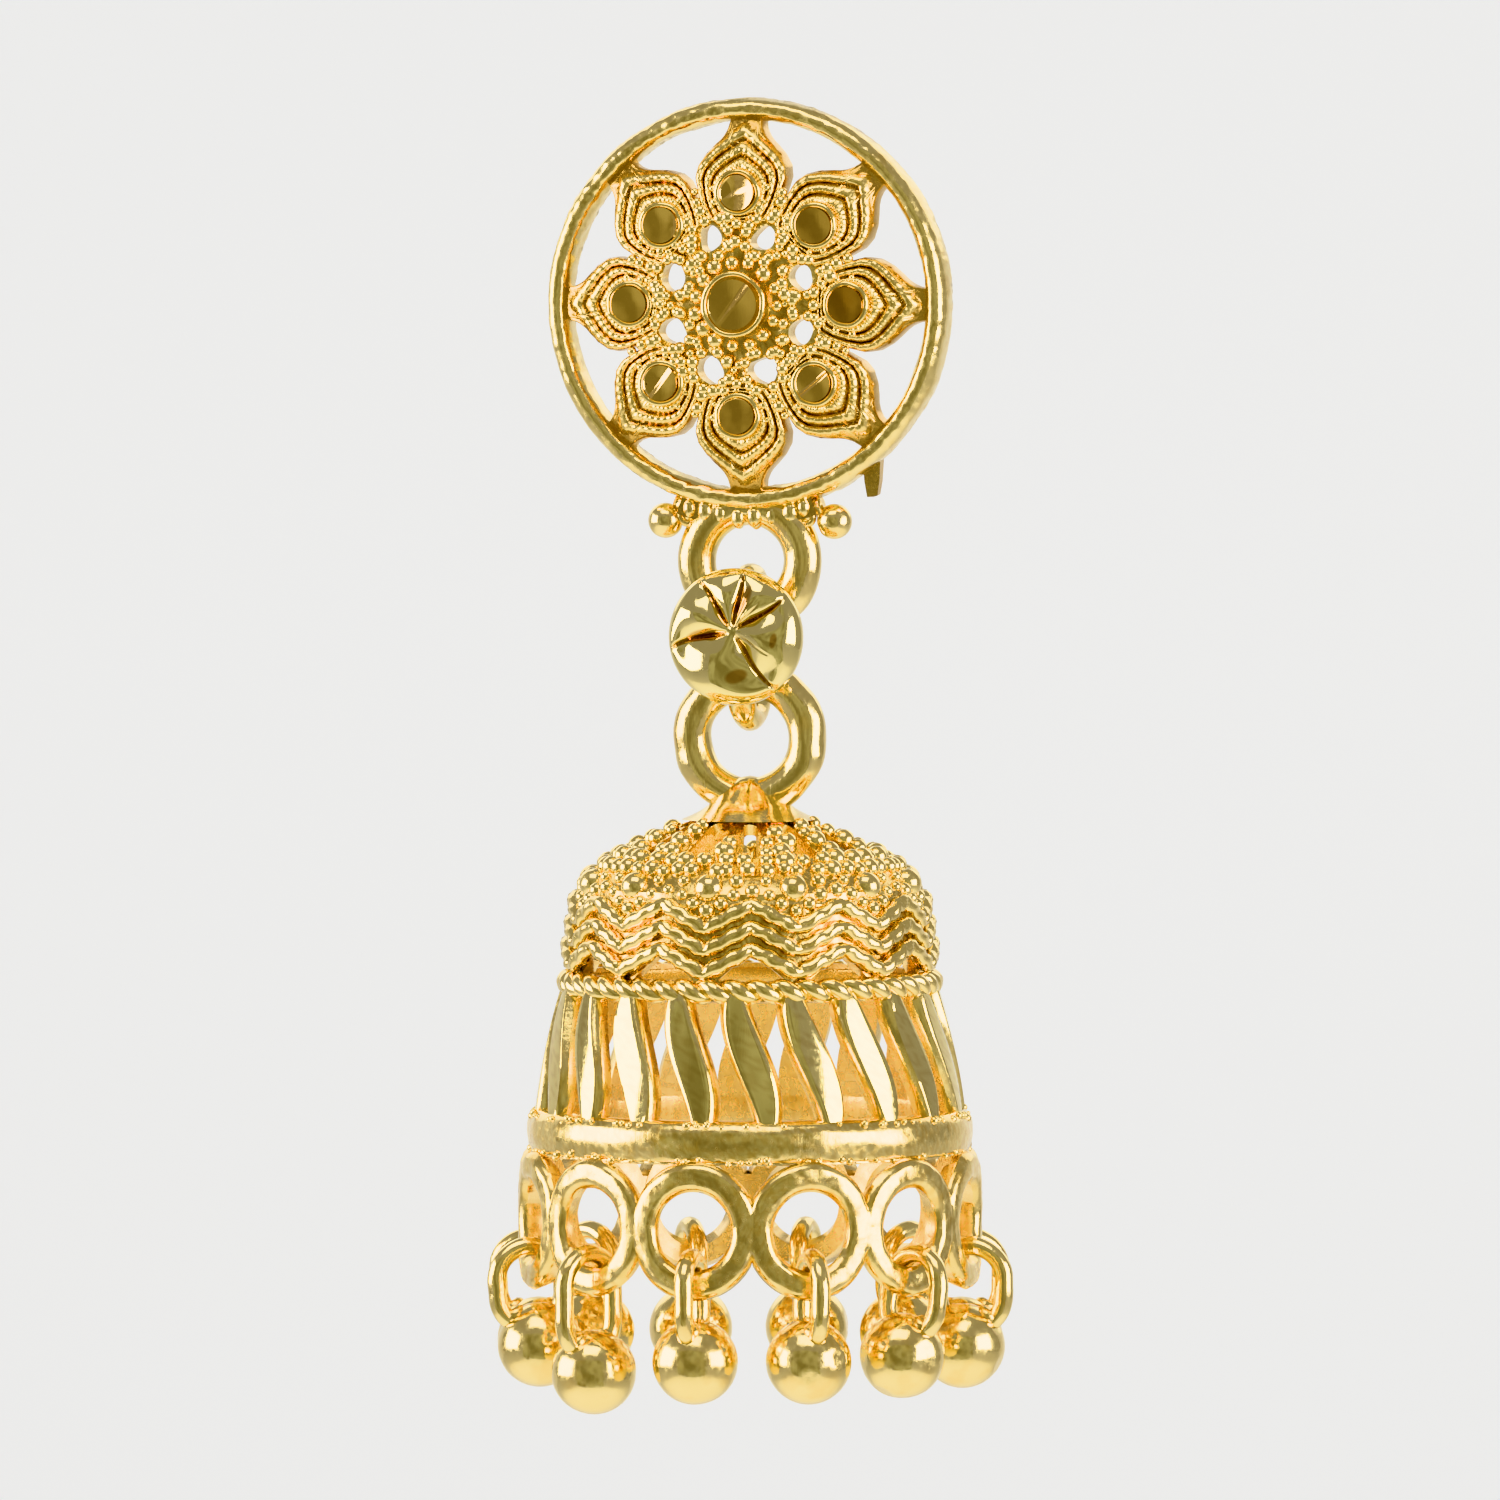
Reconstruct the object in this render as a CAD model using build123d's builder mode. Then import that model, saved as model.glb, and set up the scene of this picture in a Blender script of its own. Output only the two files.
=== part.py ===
# Jhumka drop earring: a pierced rosette stud, a flower link and a pierced bell with bead drops.
# Millimetres, +Z up. The rosette faces -Y and the origin is where the post leaves the stud's back.

import os
from math import cos, radians, sin, tan

from build123d import *

os.makedirs("parts", exist_ok=True)

# ---------------------------------------------------------------- ear disc
RIM_OUTER_R = 7.25
RIM_BAND = 0.85
RIM_DEPTH = 1.8
RIM_ROUND = 0.34

DOME_R = 16.3            # radius of the rosette's gentle dome
DOME_FRONT_Y = -2.8      # front of the dome on its axis
DOME_WALL = 0.85
PETALS = 8
PETAL_FOOT_R = 3.3
PETAL_FOOT_HALF = 1.3
PETAL_SHOULDER_R = 4.45
PETAL_HALF = 1.66
PETAL_WAIST_R = 5.75
PETAL_WAIST_HALF = 0.85
PETAL_TIP_R = 6.6
PETAL_TIP_HALF = 0.55
PETAL_CORE_R = 4.0
OGEE_SWELL = 0.16        # how far the petal's edge swells out before its waist
OGEE_HOLLOW = 0.06       # and curves in after it
DOME_TOOL_DEPTH = 5.0
RIDGE_HEIGHT = 0.26
RIDGE_FOOT_R = 3.45      # the raised lines stop here, short of the eyes
RIDGES = [               # how far in from the petal's edge each raised line starts and ends
    {"start": 0.0, "end": 0.24},
    {"start": 0.5, "end": 0.7},
]
EYE_RING_R = 2.5
EYE_R = 0.4

PETAL_STUD_RING_R = 3.9
PETAL_STUD = {"collet_r": 0.8, "flat_r": 0.63, "collet_y": -2.72, "flat_y": -2.86}
CENTRE_STUD = {"collet_r": 1.13, "flat_r": 0.88, "collet_y": -3.3, "flat_y": -3.45}
STUD_ROOT_Y = -2.0
GRANULE_RING_R = 1.5
GRANULE_R = 0.22
GRANULE_RING_Y = -2.85
HUB_R = 1.3

# ---------------------------------------------------------------- lower ring of the stud
RING_Y = -0.9            # plane shared by the stud's ring, the bell's ring and the bell's axis
STUD_RING_Z = -9.0
STUD_RING_R = 1.92
RING_WIRE_R = 0.7
YOKE_INNER_R = 7.1
YOKE_OUTER_R = 7.85
YOKE_HALF_ANGLE = 19.0
YOKE_DEPTH = 1.0
SIDE_BALL_R = 0.63
SIDE_BALL_X = 3.05
SIDE_BALL_Z = -7.6

SPUR_X = 4.3
SPUR_TOP_Z = -5.2
SPUR_LENGTH = 1.6
SPUR_WIDTH = 0.66
SPUR_DEPTH = 0.56
SPUR_TAPER = 6.0

# ---------------------------------------------------------------- post
POST_R = 0.4
POST_LENGTH = 10.5
POST_TIP_ROUND = 0.3
PAD_R = 1.15
PAD_THICK = 0.3
SEAT_GAP = 0.03

# ---------------------------------------------------------------- flower link
RING_GAP = 0.17
LINK_WIRE_R = 0.5
LINK_ARC_R = RING_WIRE_R + RING_GAP + LINK_WIRE_R
BUTTON_Z = -11.6
BUTTON_R = 2.43
BUTTON_BACK_Y = -2.4
BUTTON_BACK_R = 2.0
BUTTON_EDGE_Y = -2.95
BUTTON_HAUNCH_R = 2.21
BUTTON_HAUNCH_Y = -3.35
BUTTON_CREST_R = 1.7
BUTTON_CREST_Y = -3.55
BUTTON_DISH_Y = -3.4
BUTTON_PETALS = 5
BUTTON_PETAL_R = 1.2
BUTTON_PETAL_RING_R = 1.0
BUTTON_PETAL_Y = -2.72

# ---------------------------------------------------------------- bell
BELL_RING_Z = -15.2
BELL_RING_R = 2.09
SADDLE = {"top_r": 0.72, "top_z": -16.95, "waist_r": 0.95, "waist_z": -17.45, "foot_r": 1.6,
          "foot_z": -17.95}

WALL_OUTER = [           # outside of cap and sleeve, from the apex down
    {"r": 0.0, "z": -17.7},
    {"r": 1.5, "z": -17.85},
    {"r": 5.35, "z": -19.8},
    {"r": 5.9, "z": -20.45},
    {"r": 6.05, "z": -20.9},
    {"r": 6.25, "z": -23.7},
]
WALL_INNER = [           # inside of the same wall, from the mouth up
    {"r": 5.55, "z": -23.7},
    {"r": 5.35, "z": -20.95},
    {"r": 4.9, "z": -20.4},
    {"r": 1.4, "z": -18.6},
    {"r": 0.0, "z": -18.5},
]
SECTORS = 12
HALF_SECTOR = 15.0
CAP_SLOT_R = 3.3
CAP_SLOT_LENGTH = 2.1
CAP_SLOT_WIDTH = 0.55
CAP_SLOT_TOP_Z = -16.5
CAP_SLOT_DEPTH = 5.0
SHOULDER_BALL_R = 0.54
SHOULDER_BALL_RING_R = 5.4
SHOULDER_BALL_Z = -20.2

BELT_TOP_Z = -20.7
BELT_FOOT_Z = -23.55
BELT_INNER_R = 5.8
BELT_TOP_R = 6.28
BELT_FOOT_R = 6.68
CORD_PEAK_Z = -20.76
CORD_PITCH = 0.7
CORDS = 3
CORD_DROP = 0.87
CORD_THICK = 0.38
CORD_HALF = 1.8
WINDOW_APEX_Z = -22.5
WINDOW_SILL_Z = -23.42
WINDOW_HALF = 1.28

ROPE_Z = -23.76
ROPE_RING_R = 6.27
ROPE_R = 0.37

SLATS = 20
SLAT_MID_Z = -26.15
SLAT_HALF_HEIGHT = 2.3
SLAT_WALL = 0.65
SLAT_TOP_R = 6.62
SLAT_BULGE_R = 7.22
SLAT_FOOT_R = 7.6
SLAT_EDGE = [            # one edge of the S-shaped leaf, the other is the same turned half round
    {"x": -0.97, "z": 2.3},
    {"x": -1.07, "z": 1.15},
    {"x": -0.72, "z": 0.0},
    {"x": -0.23, "z": -1.15},
    {"x": 0.12, "z": -2.3},
]

HOOP_INNER_R = 6.95
HOOP_OUTER_R = 7.87
HOOP_TOP_Z = -28.2
HOOP_FOOT_Z = -29.5
HOOP_SHOULDER_R = 7.3
LIP_OUTER_R = 7.8
LIP_FOOT_Z = -29.72

SKIRT_INNER_R = 7.3
SKIRT_OUTER_R = 8.17
SKIRT_MID_Z = -32.0
SKIRT_RING_R = 2.42      # at the outer face; the rings are cast with a draft that narrows inward
SKIRT_HOLE_R = 1.375
SKIRT_DRAFT = 15.0
CUTTER_R = 9.5           # where tools that cut or trim the bell's walls start
CUTTER_DEPTH = 5.0
SKIRT_TOOL_DEPTH = 2.6

# ---------------------------------------------------------------- bead drops
DROP_R = 8.0             # distance from the bell's axis to the middle of each drop's loop
DROP_PIVOT_Z = -34.08    # centre of the arc that hangs on the skirt ring
DROP_WIRE_R = 0.3
DROP_ARC_R = 1.18
DROP_BALL_R = 1.5
DROP_BALL_IN = 0.25      # the ball sits this far inward of the loop's middle
DROP_BALL_OVERLAP = 0.62 # how deep the loop's foot is sunk in the ball, along its middle
DROPS = [                # each drop's loop length and how it has settled, degrees, round from the front
    {"leg": 0.65, "outward": 0.0, "sideways": 1.0},
    {"leg": 0.65, "outward": 0.0, "sideways": -1.0},
    {"leg": 0.60, "outward": -1.0, "sideways": -7.0},
    {"leg": 0.55, "outward": -2.0, "sideways": 2.0},
    {"leg": 0.60, "outward": -1.0, "sideways": -1.0},
    {"leg": 0.65, "outward": 0.0, "sideways": 2.0},
    {"leg": 0.60, "outward": 1.0, "sideways": -2.0},
    {"leg": 0.65, "outward": 0.0, "sideways": 1.0},
    {"leg": 0.60, "outward": -1.0, "sideways": 3.0},
    {"leg": 0.60, "outward": -2.0, "sideways": -1.0},
    {"leg": 0.50, "outward": -3.0, "sideways": 1.0},
    {"leg": 1.15, "outward": 1.0, "sideways": 1.0},
]

FRONT = -90.0            # direction of -Y round the bell; a skirt ring and its drop face it
PEAKS = FRONT + HALF_SECTOR
BELL_AXIS = Axis((0, RING_Y, 0), (0, 0, 1))
BELL_PLANE = Plane.XZ.offset(-RING_Y)
DISC_AXIS = Axis((0, 0, 0), (0, 1, 0))


def wall_planes(count, first, height):
    """Upright planes round the bell, each facing outward with local x along the band and y up."""
    planes = []
    for index in range(count):
        turn = radians(first + index * 360.0 / count)
        outward = Vector(cos(turn), sin(turn), 0)
        sideways = Vector(-sin(turn), cos(turn), 0)
        origin = Vector(0, RING_Y, height) + outward * CUTTER_R
        planes.append(Plane(origin=origin, x_dir=sideways, z_dir=outward))
    return planes


def dome_y(radius):
    """Depth of the rosette's front surface at a distance from its axis."""
    return DOME_FRONT_Y + DOME_R - (DOME_R**2 - radius**2) ** 0.5


def dome_shell(front, wall):
    """A slice of the dome, pushed forward by front and wall thick, as a solid of revolution."""
    edge = PETAL_TIP_R + 0.1
    shift = Vector(0, -front)
    with BuildPart() as shell:
        with BuildSketch(Plane.XY):
            with BuildLine():
                outer = ThreePointArc(
                    Vector(0, dome_y(0)) + shift,
                    Vector(edge / 2, dome_y(edge / 2)) + shift,
                    Vector(edge, dome_y(edge)) + shift,
                )
                inner = ThreePointArc(
                    Vector(0, dome_y(0) + wall) + shift,
                    Vector(edge / 2, dome_y(edge / 2) + wall) + shift,
                    Vector(edge, dome_y(edge) + wall) + shift,
                )
                Line(outer @ 0, inner @ 0)
                Line(outer @ 1, inner @ 1)
            make_face()
        revolve(axis=DISC_AXIS)
    return shell.part


def petal_face(inset):
    """One ogee petal lying along local +x, drawn in from the petal's edge by inset."""
    foot = (PETAL_FOOT_R, PETAL_FOOT_HALF - inset)
    shoulder = (PETAL_SHOULDER_R, PETAL_HALF - inset)
    waist = (PETAL_WAIST_R - inset, PETAL_WAIST_HALF - inset * 0.35)
    tip = (PETAL_TIP_R - 1.5 * inset, PETAL_TIP_HALF * (1.0 - inset))
    haunch = ((shoulder[0] + waist[0]) / 2 + OGEE_SWELL, (shoulder[1] + waist[1]) / 2 + OGEE_SWELL)
    hollow = ((waist[0] + tip[0]) / 2 - OGEE_HOLLOW, (waist[1] + tip[1]) / 2 - OGEE_HOLLOW)
    with BuildSketch(Plane.XY, mode=Mode.PRIVATE) as petal:
        with BuildLine():
            for side in (1, -1):
                Line((foot[0], side * foot[1]), (shoulder[0], side * shoulder[1]))
                ThreePointArc(
                    (shoulder[0], side * shoulder[1]),
                    (haunch[0], side * haunch[1]),
                    (waist[0], side * waist[1]),
                )
                ThreePointArc(
                    (waist[0], side * waist[1]),
                    (hollow[0], side * hollow[1]),
                    (tip[0], side * tip[1]),
                )
            Line((foot[0], foot[1]), (foot[0], -foot[1]))
            Line((tip[0], tip[1]), (tip[0], -tip[1]))
        make_face()
    return petal.sketch


# ---------------------------------------------------------------- rosette stud
with BuildPart() as petal_ridges:
    for ridge in RIDGES:
        with BuildSketch(Plane.XZ):
            with PolarLocations(0, PETALS):
                add(petal_face(ridge["start"]))
                add(petal_face(ridge["end"]), mode=Mode.SUBTRACT)
        extrude(amount=DOME_TOOL_DEPTH)
    with BuildSketch(Plane.XZ):
        Circle(RIDGE_FOOT_R)
    extrude(amount=DOME_TOOL_DEPTH, mode=Mode.SUBTRACT)
    add(dome_shell(RIDGE_HEIGHT, 2 * RIDGE_HEIGHT), mode=Mode.INTERSECT)

with BuildPart() as rosette:
    with BuildSketch(Plane.XZ):
        Circle(PETAL_CORE_R)
        with PolarLocations(0, PETALS):
            add(petal_face(0.0))
    extrude(amount=DOME_TOOL_DEPTH)
    add(dome_shell(0.0, DOME_WALL), mode=Mode.INTERSECT)
    with BuildSketch(Plane.XZ):
        with PolarLocations(EYE_RING_R, PETALS, start_angle=180.0 / PETALS):
            Circle(EYE_R)
    extrude(amount=DOME_TOOL_DEPTH, mode=Mode.SUBTRACT)
    add(petal_ridges.part)

with BuildPart() as rosette_stud:
    with BuildSketch(Plane.XY):
        with Locations((RIM_OUTER_R - RIM_BAND / 2, -RIM_DEPTH / 2)):
            RectangleRounded(RIM_BAND, RIM_DEPTH, RIM_ROUND)
    revolve(axis=DISC_AXIS)
    add(rosette.part)
    for stud, radius, count in ((PETAL_STUD, PETAL_STUD_RING_R, PETALS), (CENTRE_STUD, 0, 1)):
        for face_r, face_y in (
            (stud["collet_r"], stud["collet_y"]),
            (stud["flat_r"], stud["flat_y"]),
        ):
            with BuildSketch(Plane.XZ.offset(-STUD_ROOT_Y)):
                with PolarLocations(radius, count):
                    Circle(face_r)
            extrude(amount=STUD_ROOT_Y - face_y)
    with BuildSketch(Plane.XY):
        with Locations((GRANULE_RING_R, GRANULE_RING_Y)):
            Circle(GRANULE_R)
    revolve(axis=DISC_AXIS)
    with BuildSketch(Plane.XZ.offset(PAD_THICK + SEAT_GAP)):
        Circle(HUB_R)
    extrude(amount=-STUD_ROOT_Y - PAD_THICK)
    with Locations(Plane(origin=(0, RING_Y, STUD_RING_Z), z_dir=(0, 1, 0))):
        Torus(STUD_RING_R, RING_WIRE_R)
    with BuildSketch(Plane.XZ.offset(-RING_Y - YOKE_DEPTH / 2)):
        with BuildLine():
            lower = CenterArc((0, 0), YOKE_OUTER_R, FRONT - YOKE_HALF_ANGLE, 2 * YOKE_HALF_ANGLE)
            upper = CenterArc((0, 0), YOKE_INNER_R, FRONT - YOKE_HALF_ANGLE, 2 * YOKE_HALF_ANGLE)
            Line(lower @ 0, upper @ 0)
            Line(lower @ 1, upper @ 1)
        make_face()
        with Locations((0, STUD_RING_Z)):
            Circle(STUD_RING_R, mode=Mode.SUBTRACT)
    extrude(amount=YOKE_DEPTH)
    for side in (1, -1):
        with Locations((side * SIDE_BALL_X, RING_Y, SIDE_BALL_Z)):
            Sphere(SIDE_BALL_R)
    with BuildSketch(Plane.XY.offset(SPUR_TOP_Z)):
        with Locations((SPUR_X, -SPUR_DEPTH / 2)):
            Rectangle(SPUR_WIDTH, SPUR_DEPTH)
    extrude(amount=-SPUR_LENGTH, taper=SPUR_TAPER)
rosette_stud.part.label = "rosette_stud"
export_step(rosette_stud.part, "parts/rosette_stud.step")

# ---------------------------------------------------------------- ear post
with BuildPart() as ear_post:
    with BuildSketch(Plane.XZ.offset(PAD_THICK)):
        Circle(PAD_R)
    extrude(amount=-PAD_THICK)
    with BuildSketch(Plane.XZ):
        Circle(POST_R)
    extrude(amount=-POST_LENGTH)
    fillet(ear_post.edges().sort_by(Axis.Y)[-1], radius=POST_TIP_ROUND)
ear_post.part.label = "ear_post"
export_step(ear_post.part, "parts/ear_post.step")

# ---------------------------------------------------------------- flower link
UPPER_PIVOT_Z = STUD_RING_Z - STUD_RING_R
LOWER_PIVOT_Z = BELL_RING_Z + BELL_RING_R

with BuildPart() as button:
    with BuildSketch(Plane.XY.offset(BUTTON_Z)):
        with BuildLine():
            Line((0, BUTTON_DISH_Y), (0, BUTTON_BACK_Y))
            Line((0, BUTTON_BACK_Y), (BUTTON_BACK_R, BUTTON_BACK_Y))
            Line((BUTTON_BACK_R, BUTTON_BACK_Y), (BUTTON_R, BUTTON_EDGE_Y))
            ThreePointArc(
                (BUTTON_R, BUTTON_EDGE_Y),
                (BUTTON_HAUNCH_R, BUTTON_HAUNCH_Y),
                (BUTTON_CREST_R, BUTTON_CREST_Y),
            )
            Line((BUTTON_CREST_R, BUTTON_CREST_Y), (0, BUTTON_DISH_Y))
        make_face()
    revolve(axis=Axis((0, 0, BUTTON_Z), (0, 1, 0)))
    with Locations(Plane(origin=(0, BUTTON_PETAL_Y, BUTTON_Z), z_dir=(0, -1, 0))):
        with PolarLocations(BUTTON_PETAL_RING_R, BUTTON_PETALS, start_angle=90):
            Sphere(BUTTON_PETAL_R)
    with BuildSketch(Plane.XZ.offset(-BUTTON_BACK_Y)):
        with Locations((0, BUTTON_Z)):
            Circle(2 * BUTTON_R)
    extrude(amount=-2 * BUTTON_PETAL_R, mode=Mode.SUBTRACT)

with BuildPart() as flower_link:
    with BuildLine(Plane.YZ) as oval:
        top_arc = CenterArc((RING_Y, UPPER_PIVOT_Z), LINK_ARC_R, 0, 180)
        foot_arc = CenterArc((RING_Y, LOWER_PIVOT_Z), LINK_ARC_R, 180, 180)
        Line(top_arc @ 1, foot_arc @ 0)
        Line(foot_arc @ 1, top_arc @ 0)
    with BuildSketch(Plane(origin=oval.wires()[0] @ 0, z_dir=oval.wires()[0] % 0)):
        Circle(LINK_WIRE_R)
    sweep()
    add(button.part)
flower_link.part.label = "flower_link"
export_step(flower_link.part, "parts/flower_link.step")

# ---------------------------------------------------------------- bell
with BuildPart() as belt_cords:
    with BuildSketch(*wall_planes(SECTORS, PEAKS, 0)):
        for row in range(CORDS):
            peak = CORD_PEAK_Z - row * CORD_PITCH
            with BuildLine():
                Polyline(
                    (-CORD_HALF, peak - CORD_DROP),
                    (0, peak),
                    (CORD_HALF, peak - CORD_DROP),
                    (CORD_HALF, peak - CORD_DROP - CORD_THICK),
                    (0, peak - CORD_THICK),
                    (-CORD_HALF, peak - CORD_DROP - CORD_THICK),
                    close=True,
                )
            make_face()
    extrude(amount=-CUTTER_DEPTH)
    with BuildSketch(BELL_PLANE):
        with BuildLine():
            Polyline(
                (BELT_INNER_R, BELT_TOP_Z),
                (BELT_TOP_R, BELT_TOP_Z),
                (BELT_FOOT_R, BELT_FOOT_Z),
                (BELT_INNER_R, BELT_FOOT_Z),
                close=True,
            )
        make_face()
    revolve(axis=BELL_AXIS, mode=Mode.INTERSECT)

with BuildPart() as slats:
    with BuildSketch(*wall_planes(SLATS, PEAKS, SLAT_MID_Z)):
        with BuildLine():
            for half in (1, -1):
                edge = [(half * row["x"], half * row["z"]) for row in SLAT_EDGE]
                ThreePointArc(edge[0], edge[1], edge[2])
                ThreePointArc(edge[2], edge[3], edge[4])
                Line(edge[0], (-half * SLAT_EDGE[-1]["x"], half * SLAT_HALF_HEIGHT))
        make_face()
    extrude(amount=-CUTTER_DEPTH)
    with BuildSketch(BELL_PLANE):
        with BuildLine():
            face_arc = ThreePointArc(
                (SLAT_TOP_R, SLAT_MID_Z + SLAT_HALF_HEIGHT),
                (SLAT_BULGE_R, SLAT_MID_Z),
                (SLAT_FOOT_R, SLAT_MID_Z - SLAT_HALF_HEIGHT),
            )
            back_arc = ThreePointArc(
                (SLAT_TOP_R - SLAT_WALL, SLAT_MID_Z + SLAT_HALF_HEIGHT),
                (SLAT_BULGE_R - SLAT_WALL, SLAT_MID_Z),
                (SLAT_FOOT_R - SLAT_WALL, SLAT_MID_Z - SLAT_HALF_HEIGHT),
            )
            Line(face_arc @ 0, back_arc @ 0)
            Line(face_arc @ 1, back_arc @ 1)
        make_face()
    revolve(axis=BELL_AXIS, mode=Mode.INTERSECT)

SKIRT_FLARE = (CUTTER_R - SKIRT_OUTER_R) * tan(radians(SKIRT_DRAFT))

with BuildPart() as skirt:
    with BuildSketch(*wall_planes(SECTORS, FRONT, SKIRT_MID_Z)):
        Circle(SKIRT_RING_R + SKIRT_FLARE)
    extrude(amount=-SKIRT_TOOL_DEPTH, taper=SKIRT_DRAFT)
    with BuildSketch(BELL_PLANE):
        with Locations(((SKIRT_INNER_R + SKIRT_OUTER_R) / 2, SKIRT_MID_Z)):
            Rectangle(SKIRT_OUTER_R - SKIRT_INNER_R, 2 * SKIRT_RING_R + 1)
    revolve(axis=BELL_AXIS, mode=Mode.INTERSECT)
    with BuildSketch(*wall_planes(SECTORS, FRONT, SKIRT_MID_Z)):
        Circle(SKIRT_HOLE_R - SKIRT_FLARE)
    extrude(amount=-SKIRT_TOOL_DEPTH, taper=-SKIRT_DRAFT, mode=Mode.SUBTRACT)

with BuildPart() as bell:
    with BuildSketch(BELL_PLANE):
        with BuildLine():
            Polyline([(row["r"], row["z"]) for row in WALL_OUTER + WALL_INNER], close=True)
        make_face()
    revolve(axis=BELL_AXIS)
    with BuildSketch(Plane.XY.offset(CAP_SLOT_TOP_Z)):
        with Locations((0, RING_Y)):
            with PolarLocations(CAP_SLOT_R, SECTORS, start_angle=PEAKS):
                SlotOverall(CAP_SLOT_LENGTH, CAP_SLOT_WIDTH)
    extrude(amount=-CAP_SLOT_DEPTH, mode=Mode.SUBTRACT)
    with BuildSketch(*wall_planes(SECTORS, PEAKS, 0)):
        with BuildLine():
            Polyline(
                (0, WINDOW_APEX_Z),
                (WINDOW_HALF, WINDOW_SILL_Z),
                (-WINDOW_HALF, WINDOW_SILL_Z),
                close=True,
            )
        make_face()
    extrude(amount=-CUTTER_DEPTH, mode=Mode.SUBTRACT)
    with BuildSketch(BELL_PLANE):
        with BuildLine():
            Line((0, SADDLE["top_z"]), (SADDLE["top_r"], SADDLE["top_z"]))
            ThreePointArc(
                (SADDLE["top_r"], SADDLE["top_z"]),
                (SADDLE["waist_r"], SADDLE["waist_z"]),
                (SADDLE["foot_r"], SADDLE["foot_z"]),
            )
            Line((SADDLE["foot_r"], SADDLE["foot_z"]), (0, SADDLE["foot_z"]))
            Line((0, SADDLE["foot_z"]), (0, SADDLE["top_z"]))
        make_face()
    revolve(axis=BELL_AXIS)
    with Locations(Plane(origin=(0, RING_Y, BELL_RING_Z), z_dir=(0, 1, 0))):
        Torus(BELL_RING_R, RING_WIRE_R)
    with Locations((0, RING_Y, SHOULDER_BALL_Z)):
        with PolarLocations(SHOULDER_BALL_RING_R, SECTORS, start_angle=FRONT):
            Sphere(SHOULDER_BALL_R)
    add(belt_cords.part)
    with Locations((0, RING_Y, ROPE_Z)):
        Torus(ROPE_RING_R, ROPE_R)
    add(slats.part)
    with BuildSketch(BELL_PLANE):
        with BuildLine():
            Polyline(
                (HOOP_SHOULDER_R, HOOP_TOP_Z),
                (HOOP_INNER_R, HOOP_TOP_Z),
                (HOOP_INNER_R + 0.1, HOOP_FOOT_Z),
                (SKIRT_INNER_R, LIP_FOOT_Z),
                (LIP_OUTER_R, LIP_FOOT_Z),
                (LIP_OUTER_R, HOOP_FOOT_Z),
            )
            ThreePointArc(
                (LIP_OUTER_R, HOOP_FOOT_Z),
                (HOOP_OUTER_R, (HOOP_TOP_Z + HOOP_FOOT_Z) / 2),
                (HOOP_SHOULDER_R, HOOP_TOP_Z),
            )
        make_face()
    revolve(axis=BELL_AXIS)
    add(skirt.part)
bell.part.label = "bell"
export_step(bell.part, "parts/bell.step")

# ---------------------------------------------------------------- bead drops
for index, row in enumerate(DROPS):
    foot = -row["leg"] - DROP_ARC_R
    with BuildPart() as bead_drop:
        with BuildLine(Plane.XZ) as loop:
            hang_arc = CenterArc((0, 0), DROP_ARC_R, 0, 180)
            base_arc = CenterArc((0, -row["leg"]), DROP_ARC_R, 180, 180)
            Line(hang_arc @ 1, base_arc @ 0)
            Line(base_arc @ 1, hang_arc @ 0)
        with BuildSketch(Plane(origin=loop.wires()[0] @ 0, z_dir=loop.wires()[0] % 0)):
            Circle(DROP_WIRE_R)
        sweep()
        with Locations((-DROP_BALL_IN, 0, foot - DROP_BALL_OVERLAP)):
            Sphere(DROP_BALL_R)
    turn = FRONT + index * 360.0 / SECTORS
    seat = Location((0, RING_Y, DROP_PIVOT_Z), (0, 0, turn)) * Location((DROP_R, 0, 0))
    settle = Location((0, 0, 0), (row["sideways"], -row["outward"], 0))
    placed = bead_drop.part.moved(seat * settle)
    name = f"bead_drop_{index + 1:02d}"
    placed.label = name
    export_step(placed, f"parts/{name}.step")
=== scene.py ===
"""Looks of a jhumka drop earring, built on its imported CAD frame.

Every class builds one sub-assembly of the earring in millimetres and hands it to Blender in metres.
"""

from __future__ import annotations

import logging
import math
from dataclasses import dataclass, field
from enum import Enum
from typing import Callable, Iterable, Sequence
import bmesh
import bpy
import numpy as np
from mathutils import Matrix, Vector


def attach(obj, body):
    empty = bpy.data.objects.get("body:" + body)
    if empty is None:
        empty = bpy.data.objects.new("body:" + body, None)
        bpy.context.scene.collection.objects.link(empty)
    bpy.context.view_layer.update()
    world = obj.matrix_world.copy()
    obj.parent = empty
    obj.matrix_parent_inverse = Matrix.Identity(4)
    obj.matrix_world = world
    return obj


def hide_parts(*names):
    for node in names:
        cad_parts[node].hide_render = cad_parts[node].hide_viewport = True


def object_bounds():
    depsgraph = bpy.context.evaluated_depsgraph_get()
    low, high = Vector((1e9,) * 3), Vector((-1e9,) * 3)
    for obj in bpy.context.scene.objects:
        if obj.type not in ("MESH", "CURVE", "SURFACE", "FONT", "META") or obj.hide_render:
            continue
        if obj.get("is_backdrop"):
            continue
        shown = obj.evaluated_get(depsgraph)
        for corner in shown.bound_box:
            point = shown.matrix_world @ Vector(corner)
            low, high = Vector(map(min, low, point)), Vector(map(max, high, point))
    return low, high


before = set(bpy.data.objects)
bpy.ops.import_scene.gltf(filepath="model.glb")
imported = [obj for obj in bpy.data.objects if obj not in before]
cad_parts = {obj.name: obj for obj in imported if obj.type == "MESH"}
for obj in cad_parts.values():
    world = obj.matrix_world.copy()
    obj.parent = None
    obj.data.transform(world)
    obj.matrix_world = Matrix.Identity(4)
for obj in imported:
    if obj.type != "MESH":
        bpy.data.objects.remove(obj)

logging.basicConfig(level=logging.INFO, format="%(message)s")
log = logging.getLogger("earring")

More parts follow.
